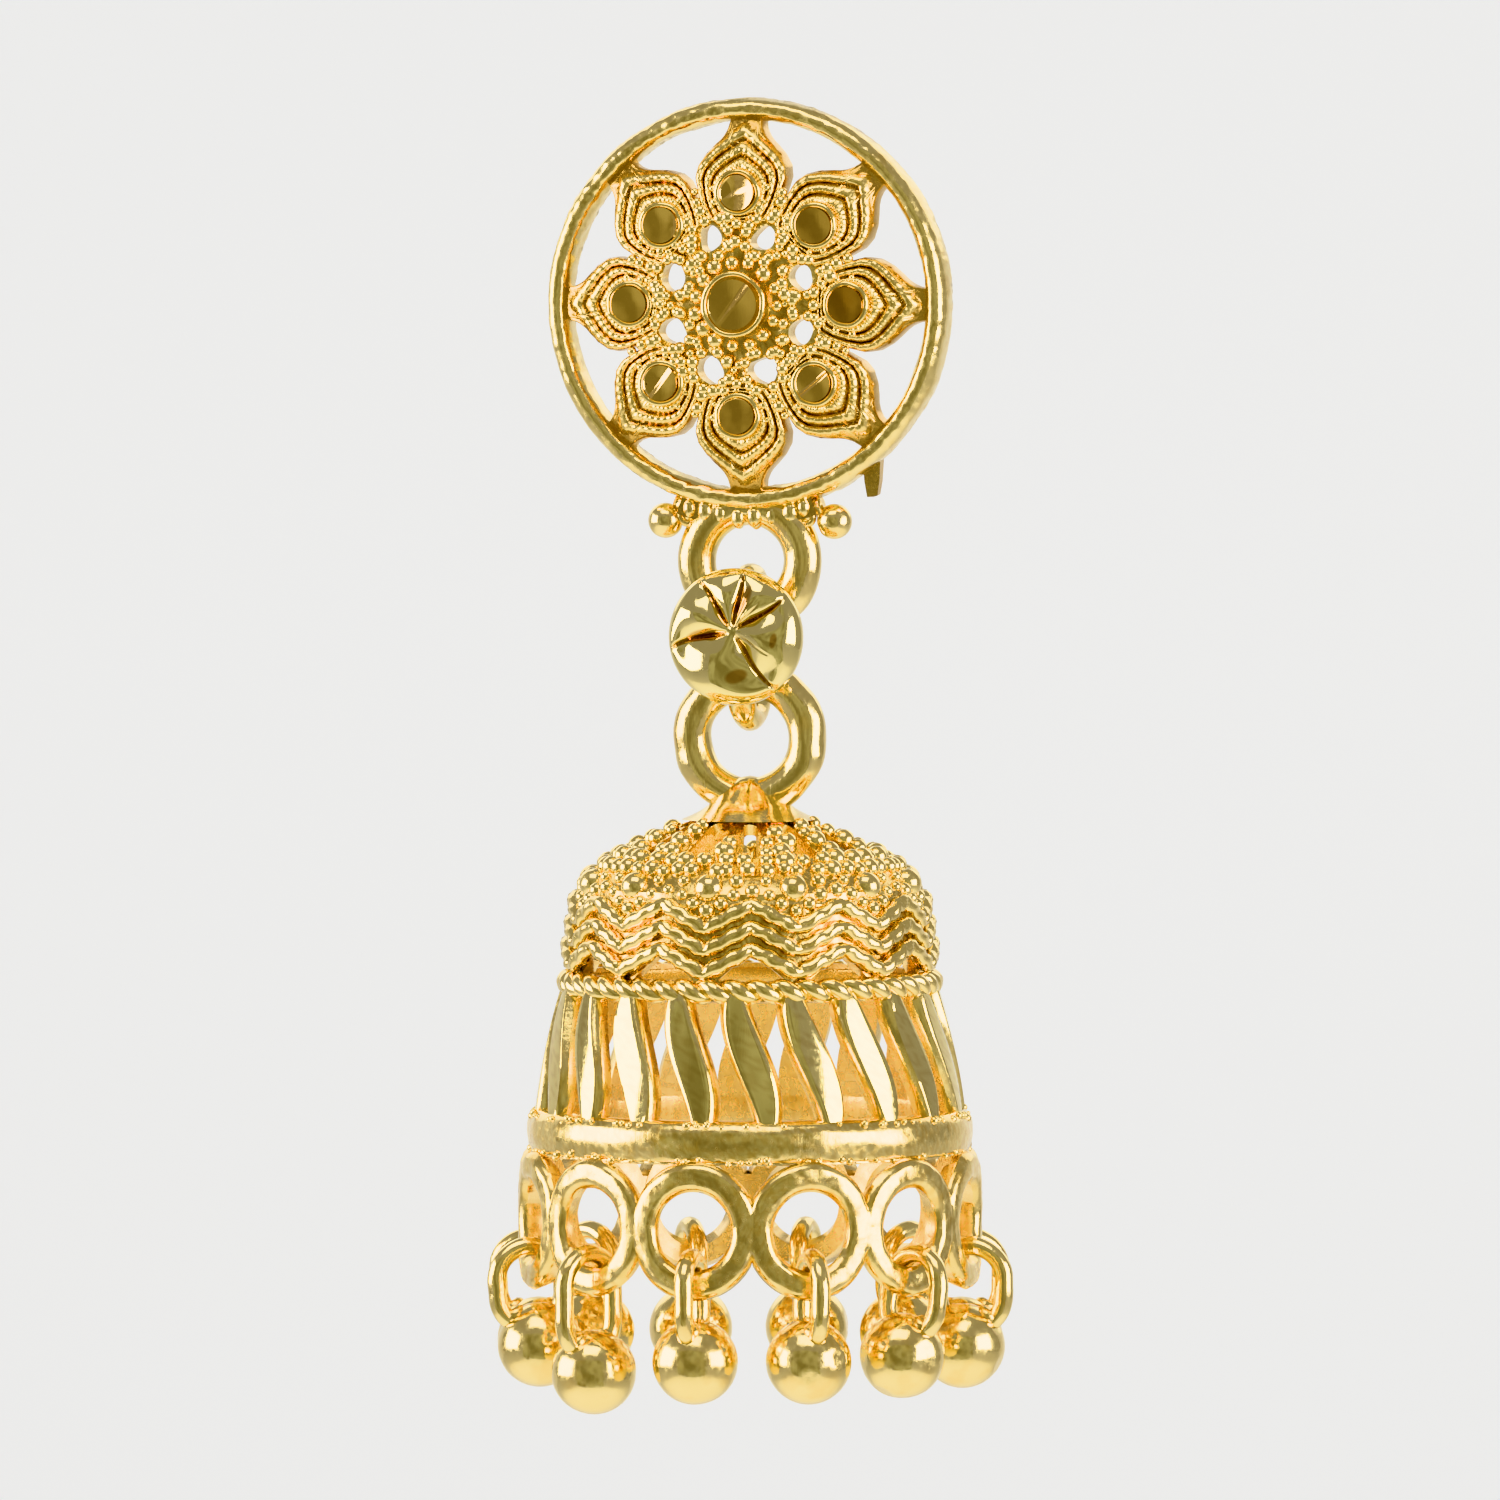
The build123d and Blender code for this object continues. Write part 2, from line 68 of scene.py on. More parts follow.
Array = np.ndarray
Colour = tuple[float, float, float]
MM = 0.001
FULL = 2.0 * math.pi
ACROSS, UPWARD = np.array([1.0, 0.0, 0.0]), np.array([0.0, 0.0, 1.0])
# The rings, the link, the bell and its drops hang in one plane, this far from the stud's back plane.
HANG_Y = -0.9
# The bell repeats in sectors: a skirt ring and a drop at the middle of each, a zigzag peak between two.
SECTORS = 12
HALF_SECTOR = math.pi / SECTORS
FRONT = math.radians(-90.0)
PEAKS = FRONT + HALF_SECTOR


class Finish(Enum):
    """The metal finishes, by the place where each is found."""

    POLISHED = "polished_gold"
    CAST = "cast_gold"
    MIRROR = "mirror_cut_gold"
    FACET = "facet_gold"
    GRANULE = "granule_gold"
    SATIN = "satin_gold"
    WIRE = "drawn_wire_gold"
    RUBBED = "rubbed_cast_gold"


@dataclass(frozen=True)
class GoldFinish:
    """One procedural gold finish; scales are in noise cycles per metre."""

    deep: Colour  # darker random patches, and the painted shade of hollows and painted dark reflections
    roughness: tuple[float, float]  # smallest and largest
    patch_scale: float  # the colour patches
    grain_scale: float  # the fine grain
    bump: float  # strength of the grain
    swell: float  # slow unevenness left by hand polishing
    patch: float  # how far the patches go towards the deeper colour
    scratch: float = 0.0  # fine polishing lines
    tone: Colour = (0.95, 0.74, 0.31)  # the open surface, away from the darker patches and the painted shade


FINISHES: dict[Finish, GoldFinish] = {
    Finish.POLISHED: GoldFinish(
        deep=(0.88, 0.54, 0.12), roughness=(0.08, 0.24),
        patch_scale=900.0, grain_scale=6000.0, bump=0.2, swell=0.45, scratch=0.2, patch=0.4,
    ),
    Finish.CAST: GoldFinish(
        tone=(0.95, 0.71, 0.27), deep=(0.46, 0.22, 0.02), roughness=(0.14, 0.32),
        patch_scale=1200.0, grain_scale=9000.0, bump=0.4, swell=0.35, scratch=0.05, patch=0.2,
    ),
    Finish.MIRROR: GoldFinish(
        tone=(0.93, 0.76, 0.33), deep=(0.44, 0.21, 0.04), roughness=(0.04, 0.12),
        patch_scale=500.0, grain_scale=7000.0, bump=0.03, swell=0.06, scratch=0.1, patch=0.05,
    ),
    Finish.FACET: GoldFinish(
        tone=(0.94, 0.64, 0.22), deep=(0.5, 0.25, 0.05), roughness=(0.05, 0.14),
        patch_scale=700.0, grain_scale=7000.0, bump=0.03, swell=0.1, scratch=0.1, patch=0.15,
    ),
    Finish.GRANULE: GoldFinish(
        tone=(0.96, 0.74, 0.3), deep=(0.82, 0.48, 0.09), roughness=(0.08, 0.22),
        patch_scale=1500.0, grain_scale=9000.0, bump=0.15, swell=0.1, patch=0.35,
    ),
    Finish.SATIN: GoldFinish(
        tone=(0.97, 0.75, 0.36), deep=(0.86, 0.54, 0.16), roughness=(0.22, 0.34),
        patch_scale=500.0, grain_scale=3000.0, bump=0.01, swell=0.12, patch=0.15,
    ),
    Finish.WIRE: GoldFinish(
        deep=(0.86, 0.5, 0.1), roughness=(0.08, 0.22),
        patch_scale=1100.0, grain_scale=6000.0, bump=0.15, swell=0.25, scratch=0.6, patch=0.35,
    ),
    Finish.RUBBED: GoldFinish(
        deep=(0.7, 0.4, 0.06), roughness=(0.1, 0.3),
        patch_scale=1300.0, grain_scale=3600.0, bump=0.45, swell=0.5, scratch=0.25, patch=0.35,
    ),
}


@dataclass(frozen=True)
class SurfaceNoise:
    """What all gold finishes share: noise limits, detail and scale, and bump depths in metres."""

    patch_limits: tuple[float, float] = (0.52, 0.72)
    patch_detail: float = 3.0
    grain_limits: tuple[float, float] = (0.35, 0.7)
    grain_detail: float = 4.0
    grain_depth: float = 0.00002
    swell_scale: float = 0.7
    swell_detail: float = 1.5
    swell_depth: float = 0.00006
    scratch_scale: float = 2200.0
    scratch_stretch: tuple[float, float, float] = (6.0, 1.0, 0.6)
    scratch_detail: float = 2.0
    scratch_depth: float = 0.00001


class NodeKit:
    """A material in the making, with the few kinds of node that it needs."""

    def __init__(self, name: str, metallic: float) -> None:
        """Starts a material with its shader and the piece's own space.

        Args:
            name: Name of the material.
            metallic: Share of metal.
        """
        self.material = bpy.data.materials.new(name)
        self.material.use_nodes = True
        self.nodes = self.material.node_tree.nodes
        self.links = self.material.node_tree.links
        self.shader = self.nodes["Principled BSDF"]
        self.shader.inputs["Metallic"].default_value = metallic
        self.place = self.nodes.new("ShaderNodeTexCoord").outputs["Object"]

    def feed(self, source: bpy.types.NodeSocket, socket: str) -> None:
        """Joins a value to one of the shader's sockets."""
        self.links.new(source, self.shader.inputs[socket])

    def noise(self, scale: float, detail: float,
              stretch: Sequence[float] | None = None) -> bpy.types.NodeSocket:
        """Adds a noise texture in the piece's own space.

        Args:
            scale: Cycles per metre.
            detail: Octaves of the noise.
            stretch: Scale along each axis, or None for the same all round.

        Returns:
            The noise's factor socket.
        """
        node = self.nodes.new("ShaderNodeTexNoise")
        node.inputs["Scale"].default_value = scale
        node.inputs["Detail"].default_value = detail
        source = self.place
        if stretch is not None:
            mapping = self.nodes.new("ShaderNodeMapping")
            mapping.inputs["Scale"].default_value = stretch
            self.links.new(self.place, mapping.inputs["Vector"])
            source = mapping.outputs["Vector"]
        self.links.new(source, node.inputs["Vector"])
        return node.outputs["Fac"]

    def remap(self, source: bpy.types.NodeSocket, limits: tuple[float, float],
              results: tuple[float, float]) -> bpy.types.NodeSocket:
        """Adds a clamped linear remap.

        Args:
            source: The value that is remapped.
            limits: Values that give the two results.
            results: First and last result.

        Returns:
            The result's socket.
        """
        node = self.nodes.new("ShaderNodeMapRange")
        for socket, value in zip(("From Min", "From Max", "To Min", "To Max"), (*limits, *results)):
            node.inputs[socket].default_value = value
        self.links.new(source, node.inputs["Value"])
        return node.outputs["Result"]

    def blend(self, first: Colour, second: Colour, factor: bpy.types.NodeSocket) -> bpy.types.NodeSocket:
        """Adds a blend of two colours.

        Args:
            first: Colour at factor 0.
            second: Colour at factor 1.
            factor: Socket of the factor.

        Returns:
            The colour's socket.
        """
        node = self.nodes.new("ShaderNodeMix")
        node.data_type = "RGBA"
        node.inputs["A"].default_value = (*first, 1.0)
        node.inputs["B"].default_value = (*second, 1.0)
        self.links.new(factor, node.inputs["Factor"])
        return node.outputs["Result"]

    def bump(self, height: bpy.types.NodeSocket, strength: float, depth: float,
             under: bpy.types.NodeSocket | None = None) -> bpy.types.NodeSocket:
        """Adds a bump, on top of another one where there is one.

        Args:
            height: Socket of the height.
            strength: Strength of the bump.
            depth: Its depth in metres.
            under: Normal of the bump under it, or None.

        Returns:
            The normal's socket.
        """
        node = self.nodes.new("ShaderNodeBump")
        node.inputs["Strength"].default_value = strength
        node.inputs["Distance"].default_value = depth
        self.links.new(height, node.inputs["Height"])
        if under is not None:
            self.links.new(under, node.inputs["Normal"])
        return node.outputs["Normal"]


class Materials:
    """Makes and keeps the node materials of the gold finishes."""

    def __init__(self) -> None:
        """Starts with no materials made."""
        self.made: dict[Finish, bpy.types.Material] = {}
        self.noise = SurfaceNoise()

    def get(self, finish: Finish) -> bpy.types.Material:
        """Gives the material of a finish, making it the first time."""
        if finish not in self.made:
            self.made[finish] = self._make(finish.value, FINISHES[finish])
        return self.made[finish]

    def _make(self, name: str, look: GoldFinish) -> bpy.types.Material:
        """Builds the node tree of one gold finish.

        Args:
            name: Name of the material.
            look: The finish's colours and strengths.

        Returns:
            The new material.
        """
        kit, shared = NodeKit(name, 1.0), self.noise
        patches = kit.noise(look.patch_scale, shared.patch_detail)
        # The painted shade of each point is added to the random tone patches, and both darken the colour
        # towards the deep one.
        cavity = kit.nodes.new("ShaderNodeAttribute")
        cavity.attribute_name = "cavity"
        darkening = kit.nodes.new("ShaderNodeMath")
        darkening.operation = "ADD"
        darkening.use_clamp = True
        kit.links.new(kit.remap(patches, shared.patch_limits, (0.0, look.patch)), darkening.inputs[0])
        kit.links.new(cavity.outputs["Fac"], darkening.inputs[1])
        kit.feed(kit.blend(look.tone, look.deep, darkening.outputs[0]), "Base Color")

        grain = kit.noise(look.grain_scale, shared.grain_detail)
        kit.feed(kit.remap(grain, shared.grain_limits, look.roughness), "Roughness")

        slow = kit.noise(look.patch_scale * shared.swell_scale, shared.swell_detail)
        normal = kit.bump(slow, look.swell, shared.swell_depth)
        normal = kit.bump(grain, look.bump, shared.grain_depth, normal)
        if look.scratch > 0.0:
            lines = kit.noise(shared.scratch_scale, shared.scratch_detail, shared.scratch_stretch)
            normal = kit.bump(lines, look.scratch, shared.scratch_depth, normal)
        kit.feed(normal, "Normal")
        return kit.material


class Wobble:
    """Smooth seeded unevenness, as hand work leaves it."""

    paces: tuple[float, float] = (0.7, 1.6)
    gain: float = 1.6

    def __init__(self, seed: int, waves: int = 7) -> None:
        """Draws the directions, phases and paces of the waves.

        Args:
            seed: Seed of the draw.
            waves: How many waves are added up.
        """
        draw = np.random.default_rng(seed)
        heading = draw.normal(size=(waves, 3))
        self.heading = heading / np.linalg.norm(heading, axis=1, keepdims=True)
        self.phase = draw.uniform(0.0, FULL, waves)
        self.pace = draw.uniform(*self.paces, waves)

    def at(self, points: Array, wavelength: float) -> Array:
        """Gives the unevenness at points.

        Args:
            points: Points, in millimetres, in the last axis.
            wavelength: Mean distance from crest to crest, in millimetres.

        Returns:
            Values of about -1 to 1, one for each point.
        """
        turns = points @ self.heading.T * (FULL / wavelength) * self.pace + self.phase
        return np.sin(turns).mean(axis=-1) * self.gain


@dataclass(frozen=True)
class Layer:
    """One layer of unevenness: its seed, wavelength and depth in millimetres, and number of waves."""

    seed: int
    wavelength: float
    depth: float
    waves: int = 7


def unevenness(points: Array, *layers: Layer) -> Array:
    """Adds up layers of unevenness.

    Args:
        points: Points, in millimetres, in the last axis.
        layers: The layers.

    Returns:
        Height in millimetres, one for each point.
    """
    return sum(Wobble(one.seed, one.waves).at(points, one.wavelength) * one.depth for one in layers)


@dataclass
class Draft:
    """A piece in the making: points in millimetres, faces, and each face's finish."""

    name: str
    finishes: list[Finish] = field(default_factory=list)
    points: list[Array] = field(default_factory=list)
    painted_shades: list[Array] = field(default_factory=list)
    faces: list[Array] = field(default_factory=list)
    marks: list[tuple[int, bool]] = field(default_factory=list)
    count: int = 0
    crease: float = 50.0
    weld: float = 1e-7
    sliver: float = 1e-8

    def add(self, points: Array, faces: Array, finish: Finish, smooth: bool = True,
            cavity: Array | float = 0.0) -> None:
        """Adds points and faces.

        Args:
            points: Points in millimetres, any shape that ends in 3.
            faces: Rows of point numbers within these points.
            finish: Finish of the faces.
            smooth: Whether the faces are shaded smooth.
            cavity: Painted shade at each point, from 0 to 1: darkening of hollows and recesses, and painted
                dark reflections on cut faces.
        """
        flat = np.asarray(points, float).reshape(-1, 3)
        if finish not in self.finishes:
            self.finishes.append(finish)
        self.points.append(flat)
        self.painted_shades.append(np.broadcast_to(np.ravel(np.asarray(cavity, float)), (len(flat),)))
        self.faces.append(np.asarray(faces, int) + self.count)
        self.marks.append((self.finishes.index(finish), smooth))
        self.count += len(flat)

    def finish(self, body: str, slot: str, replaces: Sequence[str], materials: Materials) -> None:
        """Makes the Blender object and puts it on its body.

        Args:
            body: Body of the frame that the piece rides on.
            slot: Material slot of the record; not used.
            replaces: CAD nodes that the piece stands for.
            materials: Where the materials come from.
        """
        mesh = self._mesh()
        self._clean(mesh)
        mesh.set_sharp_from_angle(angle=math.radians(self.crease))
        for entry in self.finishes:
            mesh.materials.append(materials.get(entry))
        thing = bpy.data.objects.new(self.name, mesh)
        bpy.context.scene.collection.objects.link(thing)
        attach(thing, body)
        if replaces:
            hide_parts(*replaces)
        triangles = sum(len(p.vertices) - 2 for p in mesh.polygons)
        log.info("%s: %d triangles on %s", self.name, triangles, body)

    def _mesh(self) -> bpy.types.Mesh:
        """Makes the mesh with its finishes, its smooth or flat shading and its painted shade.

        Returns:
            The new mesh, in metres.
        """
        mesh = bpy.data.meshes.new(self.name)
        places = np.vstack(self.points) * MM
        mesh.vertices.add(len(places))
        mesh.vertices.foreach_set("co", places.astype(np.float32).reshape(-1))
        loops = np.concatenate([faces.reshape(-1) for faces in self.faces])
        mesh.loops.add(len(loops))
        mesh.loops.foreach_set("vertex_index", loops.astype(np.int32))
        counts = [len(faces) for faces in self.faces]
        corners = np.repeat([faces.shape[1] for faces in self.faces], counts)
        mesh.polygons.add(len(corners))
        starts = np.concatenate([[0], np.cumsum(corners)[:-1]])
        mesh.polygons.foreach_set("loop_start", starts.astype(np.int32))
        finishes, smooth = zip(*self.marks)
        mesh.polygons.foreach_set("material_index", np.repeat(finishes, counts).astype(np.int32))
        mesh.polygons.foreach_set("use_smooth", np.repeat(smooth, counts))
        # Each point's painted shade: the darkening of hollows and recesses and the painted dark reflections,
        # which the materials mix into the colour.
        darkening = mesh.attributes.new("cavity", "FLOAT", "POINT")
        darkening.data.foreach_set("value", np.concatenate(self.painted_shades).astype(np.float32))
        mesh.update(calc_edges=True)
        return mesh

    def _clean(self, mesh: bpy.types.Mesh) -> None:
        """Joins points that meet, takes out slivers and turns all faces outward.

        Args:
            mesh: The mesh.
        """
        work = bmesh.new()
        work.from_mesh(mesh)
        bmesh.ops.remove_doubles(work, verts=work.verts, dist=self.weld)
        bmesh.ops.dissolve_degenerate(work, edges=work.edges, dist=self.sliver)
        bmesh.ops.recalc_face_normals(work, faces=work.faces)
        work.to_mesh(mesh)
        work.free()
        mesh.validate()


def grid_faces(rows: int, columns: int, wrap_rows: bool = False, wrap_columns: bool = False) -> Array:
    """Gives the quads of a grid of points.

    Args:
        rows: Points along the first axis.
        columns: Points along the second axis.
        wrap_rows: Whether the last row joins the first.
        wrap_columns: Whether the last column joins the first.

    Returns:
        Rows of four point numbers.
    """
    i = np.arange(rows if wrap_rows else rows - 1)
    j = np.arange(columns if wrap_columns else columns - 1)
    a, b = np.meshgrid(i, j, indexing="ij")
    a2, b2 = (a + 1) % rows, (b + 1) % columns
    quads = np.stack([a * columns + b, a * columns + b2, a2 * columns + b2, a2 * columns + b], axis=-1)
    return quads.reshape(-1, 4)


def plate_faces(rows: int, back_rows: int, columns: int, first: Array | bool, last: Array | bool) -> Array:
    """Gives the faces of a front and a back grid whose columns close on themselves, with walls between.

    Args:
        rows: Rows of the front grid.
        back_rows: Rows of the back grid.
        columns: Columns of both.
        first: Whether each step along the first row gets a wall.
        last: Whether each step along the last row gets a wall.

    Returns:
        Rows of four point numbers, for points stacked as front, then back.
    """
    total = rows * columns
    parts = [
        grid_faces(rows, columns, wrap_columns=True),
        grid_faces(back_rows, columns, wrap_columns=True)[:, ::-1] + total,
    ]
    step = np.arange(columns)
    after = (step + 1) % columns
    last_back = total + (back_rows - 1) * columns
    for keep, front, back in ((first, 0, total), (last, total - columns, last_back)):
        wall = np.stack([front + step, front + after, back + after, back + step], axis=-1)
        parts.append(wall[np.broadcast_to(keep, (columns,))])
    return np.vstack(parts)


def shell_faces(rows: int, columns: int) -> Array:
    """Gives the faces of two stacked grids, front then back, joined along their four borders.

    Args:
        rows: Points along the first axis of each grid.
        columns: Points along the second axis.

    Returns:
        Rows of four point numbers, the front's faces first.
    """
    total = rows * columns
    front = grid_faces(rows, columns)
    sides = []
    along, up = np.arange(columns - 1), np.arange(rows - 1) * columns
    for start, step in ((along, 1), (along + total - columns, 1), (up, columns), (up + columns - 1, columns)):
        after = start + step
        sides.append(np.stack([start, after, after + total, start + total], axis=-1))
    return np.vstack([front, front[:, ::-1] + total, *sides])


def on_border(line: Array, limits: Iterable[float]) -> Array:
    """Says which steps along a closed line run on one of some limits.

    Args:
        line: One coordinate of the line's points.
        limits: Values of that coordinate on the borders.

    Returns:
        True for each step from a point to the next that lies on a border.
    """
    after = np.roll(line, -1)
    return np.any([np.isclose(line, limit) & np.isclose(after, limit) for limit in limits], axis=0)


def polar(radius: float, turn: float, middle: tuple[float, float] = (0.0, 0.0)) -> tuple[float, float]:
    """Gives the point of a plan that lies at a distance and direction from another one."""
    return middle[0] + radius * math.cos(turn), middle[1] + radius * math.sin(turn)


def turn_about(axis: int, angle: float) -> Array:
    """Gives the matrix of a turn about an axis.

    Args:
        axis: 0, 1 or 2 for x, y or z.
        angle: The turn.

    Returns:
        The matrix.
    """
    matrix, i, j = np.eye(3), (axis + 1) % 3, (axis + 2) % 3
    matrix[i, i] = matrix[j, j] = math.cos(angle)
    matrix[j, i], matrix[i, j] = math.sin(angle), -math.sin(angle)
    return matrix


def full_turn(steps: int) -> Array:
    """Gives the angles of one whole turn in equal steps."""
    return FULL * np.arange(steps) / steps


def sweep(path: Array, radii: Array, closed: bool, start_up: Array) -> tuple[Array, Array]:
    """Sweeps a section along a path with a frame carried along it.

    Args:
        path: Points of the path, in millimetres.
        radii: Radius for each path point and each side, as a grid.
        closed: Whether the path closes on itself; an open one gets a cap at each end.
        start_up: Direction of the first side at the start.

    Returns:
        The points and the faces, the points as a grid, path by side, where the path is closed.
    """
    n, sides = radii.shape
    ahead = np.roll(path, -1, axis=0) - np.roll(path, 1, axis=0)
    if not closed:
        ahead[0], ahead[-1] = path[1] - path[0], path[-1] - path[-2]
    ahead /= np.linalg.norm(ahead, axis=1, keepdims=True)
    ups = np.zeros_like(path)
    up = np.asarray(start_up, float)
    for k in range(n):
        up = up - ahead[k] * (up @ ahead[k])
        up = up / np.linalg.norm(up)
        ups[k] = up
    spin = np.zeros(n)
    if closed:
        end = ups[-1] - ahead[0] * (ups[-1] @ ahead[0])
        end /= np.linalg.norm(end)
        miss = math.atan2(np.cross(end, ups[0]) @ ahead[0], end @ ups[0])
        spin = miss * np.arange(n) / n
    across = np.cross(ahead, ups)
    turn = full_turn(sides) + spin[:, None]
    ring = np.cos(turn)[..., None] * ups[:, None] + np.sin(turn)[..., None] * across[:, None]
    points = path[:, None] + ring * radii[..., None]
    faces = grid_faces(n, sides, closed, True)
    if closed:
        return points, faces
    side = np.arange(sides)
    caps = []
    for row, middle, order in ((0, n * sides, -1), (n - 1, n * sides + 1, 1)):
        tip = np.full(sides, middle)
        start = row * sides
        caps.append(np.stack([start + side, start + (side + 1) % sides, tip, tip], axis=-1)[:, ::order])
    return np.vstack([points.reshape(-1, 3), path[0], path[-1]]), np.vstack([faces, *caps])


def revolve(profile: Array, centre: Sequence[float], axis: str, segments: int) -> Array:
    """Turns a profile round an axis.

    Args:
        profile: Rows of radius and height along the axis.
        centre: Point on the axis at height 0.
        axis: "z", or "y" for heights along -Y, towards the front.
        segments: Steps round the axis.

    Returns:
        A grid of points, step by profile point.
    """
    turn = full_turn(segments)
    r, h = profile[:, 0], profile[:, 1]
    c, s = np.cos(turn)[:, None] * r, np.sin(turn)[:, None] * r
    up = np.broadcast_to(h, c.shape)
    grid = np.stack([c, s, up], axis=-1) if axis == "z" else np.stack([c, -up, s], axis=-1)
    return grid + np.asarray(centre, float)


def lathe(profile: Sequence[Sequence[float]], centre: Sequence[float], axis: str, segments: int,
          closed: bool = False) -> tuple[Array, Array]:
    """Turns a profile round an axis, with faces between its points.

    Args:
        profile: Rows of radius and height along the axis.
        centre: Point on the axis at height 0.
        axis: "z" or "y", as for revolve.
        segments: Steps round the axis.
        closed: Whether the profile closes on itself, away from the axis.

    Returns:
        The grid of points and its faces.
    """
    rows = np.asarray(profile, float)
    return revolve(rows, centre, axis, segments), grid_faces(segments, len(rows), True, closed)


def upright_ring(centre: Sequence[float], radius: float, wire: float, seed: int) -> tuple[Array, Array]:
    """Makes a round wire ring that faces the front, with hand-filed unevenness.

    Args:
        centre: Middle of the ring.
        radius: Radius of the wire's centre line.
        wire: Radius of the wire.
        seed: Seed of the unevenness.

    Returns:
        The grid of points and its faces.
    """
    steps, sides = 120, 22
    filed = Layer(seed, 1.6, 0.03)
    turn = full_turn(steps)
    outward = np.cos(turn)[:, None] * ACROSS + np.sin(turn)[:, None] * UPWARD
    path = np.asarray(centre, float) + radius * outward
    points, faces = sweep(path, np.full((steps, sides), wire), True, ACROSS)
    out = points - path[:, None]
    out /= np.linalg.norm(out, axis=-1, keepdims=True)
    return points + out * (unevenness(points, filed) - filed.depth)[..., None], faces


def oval_loop(arc: float, leg: float, arc_steps: int, leg_steps: int) -> Array:
    """Gives a long closed loop of two half circles and two straight legs.

    Args:
        arc: Radius of the half circles.
        leg: Length of the legs, which run down from the origin's height.
        arc_steps: Points along each half circle.
        leg_steps: Points along each leg.

    Returns:
        Rows of sideways and up.
    """
    up = np.linspace(0.0, math.pi, arc_steps, endpoint=False)
    down = np.linspace(0.0, leg, leg_steps, endpoint=False)
    return np.vstack([
        np.stack([arc * np.cos(up), arc * np.sin(up)], axis=-1),
        np.stack([np.full(leg_steps, -arc), -down], axis=-1),
        np.stack([-arc * np.cos(up), -leg - arc * np.sin(up)], axis=-1),
        np.stack([np.full(leg_steps, arc), down - leg], axis=-1),
    ])


def unit_ball(rows: int, columns: int) -> tuple[Array, Array]:
    """Makes a unit ball.

    Args:
        rows: Points from pole to pole.
        columns: Points round.

    Returns:
        The grid of points and its faces.
    """
    dip, turn = np.linspace(0.0, math.pi, rows)[:, None], full_turn(columns)
    grid = np.stack([
        np.sin(dip) * np.cos(turn),
        np.sin(dip) * np.sin(turn),
        np.broadcast_to(np.cos(dip), (rows, columns)),
    ], axis=-1)
    return grid, grid_faces(rows, columns, False, True)


def granules(centres: Array, radii: Array, rows: int = 8, columns: int = 12,
             stretch: Sequence[float] = (1.0, 1.0, 1.0)) -> tuple[Array, Array]:
    """Makes many small balls in one go.

    Args:
        centres: Middle of each ball.
        radii: Radius of each ball.
        rows: Points from pole to pole.
        columns: Points round.
        stretch: Scale of each ball along x, y and z.

    Returns:
        All the points and all the faces.
    """
    grid, faces = unit_ball(rows, columns)
    flat = grid.reshape(-1, 3)
    points = centres[:, None] + flat[None] * radii[:, None, None] * np.asarray(stretch)
    steps = np.arange(len(centres)) * len(flat)
    return points.reshape(-1, 3), (faces[None] + steps[:, None, None]).reshape(-1, 4)


def hammered(ball: Array, draw: np.random.Generator, cuts: int, distance: float,
             upright: float = 1.0) -> Array:
    """Presses a few flat spots into a ball.

    Args:
        ball: Points of the ball, round the origin.
        draw: Where the directions are drawn.
        cuts: How many flat spots.
        distance: Distance of their planes from the middle.
        upright: Share of the vertical that is left in the directions.

    Returns:
        The ball's points.
    """
    for _ in range(cuts):
        heading = draw.normal(size=3) * (1.0, 1.0, upright)
        heading = heading / np.linalg.norm(heading)
        beyond = np.maximum(ball @ heading - distance, 0.0)
        ball = ball - beyond[..., None] * heading
    return ball


def around_window(inner: Callable[[Array], Array], middle: tuple[float, float],
                  box: tuple[float, float, float, float], turns: int, steps: int) -> Array:
    """Fills a rectangle round a window with rays from the window's edge to the rectangle's.

    Args:
        inner: Gives the window's edge, as rows of a and b, for angles.
        middle: A point in the window that sees all of its edge.
        box: Lowest a, highest a, lowest b and highest b of the rectangle.
        turns: Rays round the window, apart from those into the corners.
        steps: Points along each ray.

    Returns:
        A grid of a and b, step by ray.
    """
    a0, a1, b0, b1 = box
    smallest = 1e-6
    corners = [math.atan2(b - middle[1], a - middle[0]) for a in (a0, a1) for b in (b0, b1)]
    angles = np.sort(np.concatenate([np.linspace(-math.pi, math.pi, turns, endpoint=False), corners]))
    angles = angles[np.concatenate([[True], np.diff(angles) > smallest])]
    c, s = np.cos(angles), np.sin(angles)
    with np.errstate(divide="ignore"):
        reach_a = np.where(c > 0, (a1 - middle[0]) / c, (a0 - middle[0]) / c)
        reach_b = np.where(s > 0, (b1 - middle[1]) / s, (b0 - middle[1]) / s)
    reach = np.minimum(np.abs(reach_a), np.abs(reach_b))
    outer = np.stack([middle[0] + reach * c, middle[1] + reach * s], axis=-1)
    edge = inner(angles)
    t = np.linspace(0.0, 1.0, steps)[:, None, None]
    return edge[None] * (1.0 - t) + outer[None] * t


